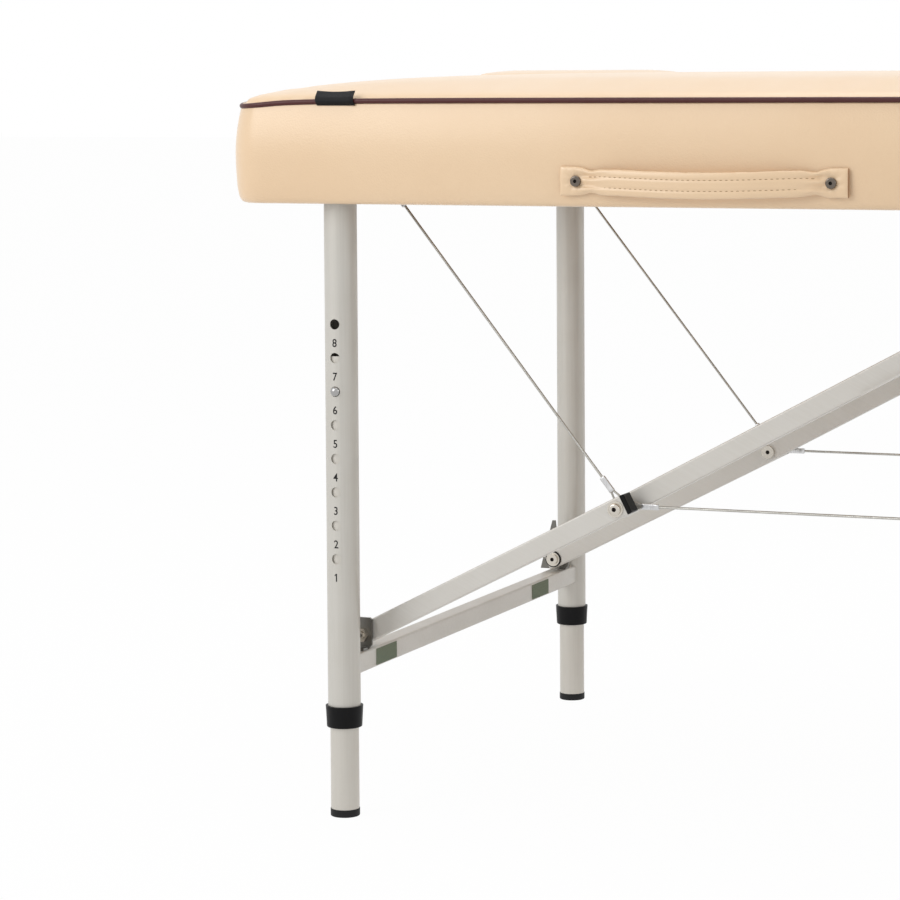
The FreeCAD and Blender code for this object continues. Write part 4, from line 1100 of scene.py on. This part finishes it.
@dataclass
class HeightNumbers:
    """The numbers 1 to 8 printed beside the height holes of each leg."""

    shop: Workshop
    first_hole: float = 0.2545
    pitch: float = 0.03266
    drop: float = 0.0185
    digit_height: float = 0.0078
    ink: float = 0.00012
    size_per_height: float = 1.42
    width_share: float = 0.88
    tube_radius: float = 0.016
    leg_x: float = 0.870
    leg_y: float = 0.3135

    def add_flag(self, text: Piece) -> None:
        """Give the plain stroke of the number 1 its slanting flag."""
        left = min(v.co.x for v in text.data.vertices)
        top = max(v.co.y for v in text.data.vertices)
        bpy.ops.mesh.primitive_plane_add(size=0.002, location=(0, 0, 0))
        flag = bpy.context.object
        corners = {(1, 1): (left, top), (1, -1): (left, top - 0.0014),
                   (-1, -1): (left - 0.0015, top - 0.0026), (-1, 1): (left - 0.0015, top - 0.0015)}
        shape(flag, lambda p: Vector((*corners[(round(p.x * 1000), round(p.y * 1000))], 0.0)))
        merged(text.name, [text, flag])

    def column(self) -> Piece:
        """Print the eight numbers on the front left leg."""
        parts = []
        for number in range(1, 9):
            bpy.ops.object.select_all(action="DESELECT")
            bpy.ops.object.text_add(location=(0, 0, 0))
            text = bpy.context.object
            text.data.body = str(number)
            text.data.align_x, text.data.align_y = "CENTER", "CENTER"
            text.data.size = self.digit_height * self.size_per_height
            text.data.offset = 0.0001
            bpy.ops.object.convert(target="MESH")
            if number == 1:
                self.add_flag(text)
            text.scale.x = self.width_share
            text.rotation_euler = (math.pi / 2, 0, 0)
            text.location = (0, 0, self.first_hole + (number - 1) * self.pitch - self.drop)
            parts.append(settle(bpy.context.object))
        obj = merged("numbers", parts)
        edit(obj)
        bpy.ops.mesh.quads_convert_to_tris()
        bpy.ops.mesh.subdivide(number_cuts=2)
        leave_edit()
        skin = self.tube_radius + 0.00005
        shape(obj, lambda p: Vector((p.x, -math.sqrt(skin ** 2 - p.x ** 2), p.z)))
        finish_with(obj, "SOLIDIFY", thickness=self.ink, offset=1.0)
        return obj

    def make(self) -> None:
        """Copy the numbers to all four legs, where they always face outwards."""
        first = self.column()
        for half, side_x in HALVES.items():
            for side, side_y in SIDES.items():
                turn = Matrix.Rotation(0.0 if side_y < 0 else math.pi, 4, "Z")
                place = Matrix.Translation((side_x * self.leg_x, side_y * self.leg_y, 0))
                obj = copy_of(first, f"{side}_{half}_numbers", place @ turn)
                self.shop.dress(obj, "printed_ink")
                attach(obj, f"{half}_leg_frame")
        bpy.data.objects.remove(first)
        log.info("numbers: four columns of eight")


# ------------------------------------------------------------------ steel cables

@dataclass
class StayCables:
    """The steel cables that hold the legs upright, with their eyes and pressed ferrules."""

    shop: Workshop
    radius: float = 0.00135
    strands: int = 6
    lay: float = 0.011
    eye: float = 0.0062
    ferrule_start: float = 0.017
    ferrule_length: float = 0.018
    step: float = 0.0016
    eye_wire: float = 0.82
    eye_opening: float = math.radians(52)
    wire_apart: float = 0.0011
    knee: Vector = field(default_factory=lambda: Vector((-0.6035, 0.0, 0.308)))
    peg: Vector = field(default_factory=lambda: Vector((-0.852, 0.0, 0.622)))
    outer_y: float = -0.2477
    inner_y: float = -0.2433

    def eye_path(self, centre: Vector, toward: Vector) -> list[Vector]:
        """Points of an eye's wire: out of the ferrule, round the pin and back."""
        ahead = (toward - centre).normalized()
        side = ahead.cross(Vector((0, 1, 0))).normalized()
        throat = self.ferrule_start + 0.002
        opening = self.eye_opening
        bend = []
        for k in range(41):
            angle = opening + (math.tau - 2 * opening) * k / 40
            bend.append(centre + (ahead * math.cos(angle) + side * math.sin(angle)) * self.eye)
        mouth, apart = centre + ahead * throat, side * self.wire_apart
        return [mouth + apart, *bend, mouth - apart]

    def along(self, name: str, line: Sequence[Vector], radius: float) -> Piece:
        """Lay a rope and lead it along an upright plane's line.

        Args:
            name: The piece's name.
            line: Points of the line, all at one place across the table.
            radius: The rope's radius.

        Returns:
            The rope along the line.
        """
        marks = [0.0]
        for a, b in zip(line, line[1:]):
            marks.append(marks[-1] + (b - a).length)
        obj = laid_rope(name, marks[-1], radius, self.strands, self.lay, self.step)
        across = Vector((0, 1, 0))

        def led(point: Vector) -> Vector:
            """Set a point of the straight rope beside the line."""
            k = min(max(bisect_right(marks, point.z) - 1, 0), len(line) - 2)
            share = (point.z - marks[k]) / (marks[k + 1] - marks[k])
            ahead = line[k + 1] - line[k]
            before = line[k] - line[k - 1] if k else ahead
            after = line[k + 2] - line[k + 1] if k < len(line) - 2 else ahead
            start, end = (before + ahead).normalized(), (ahead + after).normalized()
            way = start.lerp(end, share).normalized()
            return line[k].lerp(line[k + 1], share) + way.cross(across) * point.x + across * point.y

        shape(obj, led)
        outwards(obj)
        return smooth(obj, 60)

    def ferrule(self, name: str, centre: Vector, toward: Vector) -> Piece:
        """Press a ferrule over the two wires beside an eye."""
        half = self.ferrule_length / 2
        thick, tall, waist, pressed = 0.0019, 0.0029, 0.0048, 0.88
        obj = block(name, (-half, -thick, -tall), (half, thick, tall))
        slice_at(obj, 0, (-0.0055, -0.0045, 0.0045, 0.0055))
        shape(obj, lambda p: Vector((p.x, p.y * (pressed if abs(p.x) < waist else 1.0), p.z)))
        finish_with(obj, "BEVEL", width=0.0011, segments=3, limit_method="ANGLE")
        ahead = (toward - centre).normalized()
        turn = ahead.to_track_quat("X", "Z").to_matrix().to_4x4()
        middle = centre + ahead * (self.ferrule_start + half)
        obj.data.transform(Matrix.Translation(middle) @ turn)
        return smooth(obj)

    def cable(self, name: str, start: Vector, end: Vector, eyes: tuple[bool, bool]) -> Piece:
        """Make one straight cable, with an eye at either end or at both.

        Args:
            name: The piece's name.
            start: The middle of the first pin, or the cable's bare first end.
            end: The same for its last end.
            eyes: Whether each end has an eye.

        Returns:
            The joined cable.
        """
        run = end - start
        ahead = run.normalized()
        first = start + ahead * (self.ferrule_start if eyes[0] else 0.0)
        last = end - ahead * (self.ferrule_start if eyes[1] else 0.0)
        wires = [self.along(f"{name}_strand", [first, last], self.radius)]
        sleeves = []
        for has_eye, centre, toward in ((eyes[0], start, end), (eyes[1], end, start)):
            if has_eye:
                path = self.eye_path(centre, toward)
                wires.append(self.along(f"{name}_eye", path, self.radius * self.eye_wire))
                sleeves.append(self.ferrule(f"{name}_ferrule", centre, toward))
        for wire in wires:
            self.shop.dress(wire, "wire_rope")
        for sleeve in sleeves:
            self.shop.dress(sleeve, "pressed_ferrule")
        return merged(name, wires + sleeves)

    def make(self) -> None:
        """String every cable, and set each half of the tie cable on its deck."""
        outer, inner = Vector((0, self.outer_y, 0)), Vector((0, self.inner_y, 0))
        brace = self.cable("brace", self.peg + outer, self.knee + outer, (True, True))
        middle = Vector((0.0, 0.0, self.knee.z))
        tie = self.cable("tie", self.knee + inner, middle + inner, (True, False))
        for half, side_x in HALVES.items():
            deck = "root" if half == "left" else "right_deck"
            for side, side_y in SIDES.items():
                flip = Matrix.Diagonal((-side_x, -side_y, 1, 1))
                stay = copy_of(brace, f"{side}_{half}_brace_cable", flip)
                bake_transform(stay)
                long = copy_of(tie, f"{side}_{half}_tie_cable", flip)
                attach(long, deck)
                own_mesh(long)
                if side == "front":
                    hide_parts(f"{half}_brace_cables")
                    if half == "left":
                        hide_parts("centre_cables")
        bpy.data.objects.remove(brace)
        bpy.data.objects.remove(tie)
        log.info("cables: four braces and four tie halves")


# ------------------------------------------------------------------ metal and plastic of the frame

@dataclass
class Hardware:
    """Gives the frame's own pieces their finishes."""

    shop: Workshop
    finishes: dict[str, str] = field(default_factory=lambda: {
        "frame_rails": "birch_ply",
        "deck_board": "birch_ply",
        "handle_screws": "bronzed_screw",
        "deck_brackets": "blackened_steel",
        "pivot_bolts": "bright_steel",
        "hinge_leaves": "bright_steel",
        "hinge_pins": "bright_steel",
        "outer_legs": "champagne_tube",
        "inner_leg": "champagne_inner",
        "crossbar": "champagne_link",
        "gussets": "blackened_steel",
        "hook_pads": "hook_tape",
        "leg_collars": "moulded_black",
        "lower_bolts": "bright_steel",
        "foot_cap": "black_rubber",
        "snap_button": "chrome",
        "lower_links": "champagne_link",
        "link_plastics": "moulded_black",
        "knee_bolts": "bright_steel",
        "upper_links": "champagne_link",
        "knee_sleeves": "bright_steel",
    })

    def make(self, nodes: dict[str, Piece]) -> None:
        """Dress every node of the frame that stays in sight."""
        for name, obj in nodes.items():
            finish = next((f for ending, f in self.finishes.items() if name.endswith(ending)), None)
            if finish:
                self.shop.dress(obj, finish)
        log.info("hardware: %d nodes of the frame", len(nodes))


# ------------------------------------------------------------------ studio

@dataclass
class Studio:
    """A white floor, soft light and the camera."""

    eye: Point = (0.4418, -3.1415, 0.725)
    heading: float = 21.815
    tilt: float = 3.512
    roll: float = -0.301
    lens: float = 128.67
    shift: tuple[float, float] = (-0.07, -0.2)
    floor_white: float = 0.975

    def camera(self) -> None:
        """Place the camera beside the table's front, looking at its left half."""
        data = bpy.data.cameras.new("camera")
        data.lens, data.sensor_width = self.lens, 36.0
        data.shift_x, data.shift_y = self.shift
        data.clip_start, data.clip_end = 0.05, 60.0
        obj = bpy.data.objects.new("camera", data)
        bpy.context.collection.objects.link(obj)
        yaw, pitch, roll = (math.radians(a) for a in (self.heading, self.tilt, self.roll))
        level = math.cos(pitch)
        ahead = Vector((-math.sin(yaw) * level, math.cos(yaw) * level, -math.sin(pitch)))
        side = ahead.cross(Vector((0, 0, 1))).normalized()
        above = side.cross(ahead)
        right = side * math.cos(roll) + above * math.sin(roll)
        up = above * math.cos(roll) - side * math.sin(roll)
        obj.matrix_world = Matrix((
            (right.x, up.x, -ahead.x, self.eye[0]),
            (right.y, up.y, -ahead.y, self.eye[1]),
            (right.z, up.z, -ahead.z, self.eye[2]),
            (0, 0, 0, 1),
        ))
        bpy.context.scene.camera = obj

    def lamp(self, name: str, place: Point, target: Point, size: float, power: float,
             colour: Sequence[float] = (1.0, 1.0, 1.0)) -> None:
        """Hang one soft box that faces a point."""
        data = bpy.data.lights.new(name, "AREA")
        data.shape, data.size, data.energy, data.color = "SQUARE", size, power, colour
        obj = bpy.data.objects.new(name, data)
        bpy.context.collection.objects.link(obj)
        obj.location = place
        obj.rotation_mode = "QUATERNION"
        obj.rotation_quaternion = (Vector(target) - Vector(place)).to_track_quat("-Z", "Y")

    def white_for_camera(self, w: Wiring, fallback: object, share: float) -> Socket:
        """Mix plain white over a shader for rays that come from the camera or off gloss."""
        rays = w.add("ShaderNodeLightPath")
        seen = w.sums("MAXIMUM", rays.outputs["Is Camera Ray"], rays.outputs["Is Glossy Ray"])
        seen = w.sums("MAXIMUM", seen, rays.outputs["Is Transmission Ray"])
        glow = w.feed(w.add("ShaderNodeEmission"), Color=(1, 1, 1, 1), Strength=1.0)
        mix = w.add("ShaderNodeMixShader")
        values = (w.sums("MULTIPLY", seen, share), fallback, glow.outputs[0])
        for entry, value in zip(mix.inputs, values):
            w.join(entry, value)
        return mix.outputs[0]

    def floor(self) -> None:
        """Lay a white floor that keeps a soft shadow."""
        bpy.ops.object.select_all(action="DESELECT")
        bpy.ops.mesh.primitive_plane_add(size=60, location=(0, 0, 0))
        obj = bpy.context.object
        obj.name = "studio_floor"
        material = bpy.data.materials.new("studio_white")
        material.use_nodes = True
        w = Wiring(material.node_tree)
        shader = material.node_tree.nodes["Principled BSDF"]
        w.feed(shader, Base_Color=(0.93, 0.93, 0.93, 1), Roughness=0.9)
        out = material.node_tree.nodes["Material Output"]
        w.join(out.inputs[0], self.white_for_camera(w, shader.outputs[0], self.floor_white))
        obj.data.materials.append(material)

    def world(self, level: float = 0.5) -> None:
        """Surround the table with even white light."""
        world = bpy.data.worlds.new("studio")
        bpy.context.scene.world = world
        world.use_nodes = True
        w = Wiring(world.node_tree)
        soft = world.node_tree.nodes["Background"]
        w.feed(soft, Color=(1, 1, 1, 1), Strength=level)
        out = world.node_tree.nodes["World Output"]
        w.join(out.inputs[0], self.white_for_camera(w, soft.outputs[0], 1.0))

    def make(self) -> None:
        """Set up the studio."""
        self.camera()
        self.floor()
        self.world()
        self.lamp("key", (-2.5, -2.5, 2.1), (-0.5, 0, 0.45), 2.0, 40)
        self.lamp("top", (-0.3, 0.2, 3.2), (-0.3, 0.0, 0.6), 2.4, 32)
        self.lamp("rim", (2.6, -1.2, 1.6), (-0.2, 0, 0.5), 1.6, 8)
        bpy.context.scene.view_settings.view_transform = "Standard"
        log.info("studio: camera, floor and three soft boxes")


def main() -> None:
    """Build the table's looks in order."""
    logging.basicConfig(level=logging.INFO, format="%(name)s: %(message)s")
    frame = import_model()
    bpy.ops.object.select_all(action="DESELECT")
    shop = Workshop()
    shop.stock()
    Studio().make()
    StayCables(shop).make()
    Pad(shop).make()
    CarryingStrap(shop).make()
    HeightNumbers(shop).make()
    Hardware(shop).make(frame["nodes"])


if __name__ == "__main__":
    main()
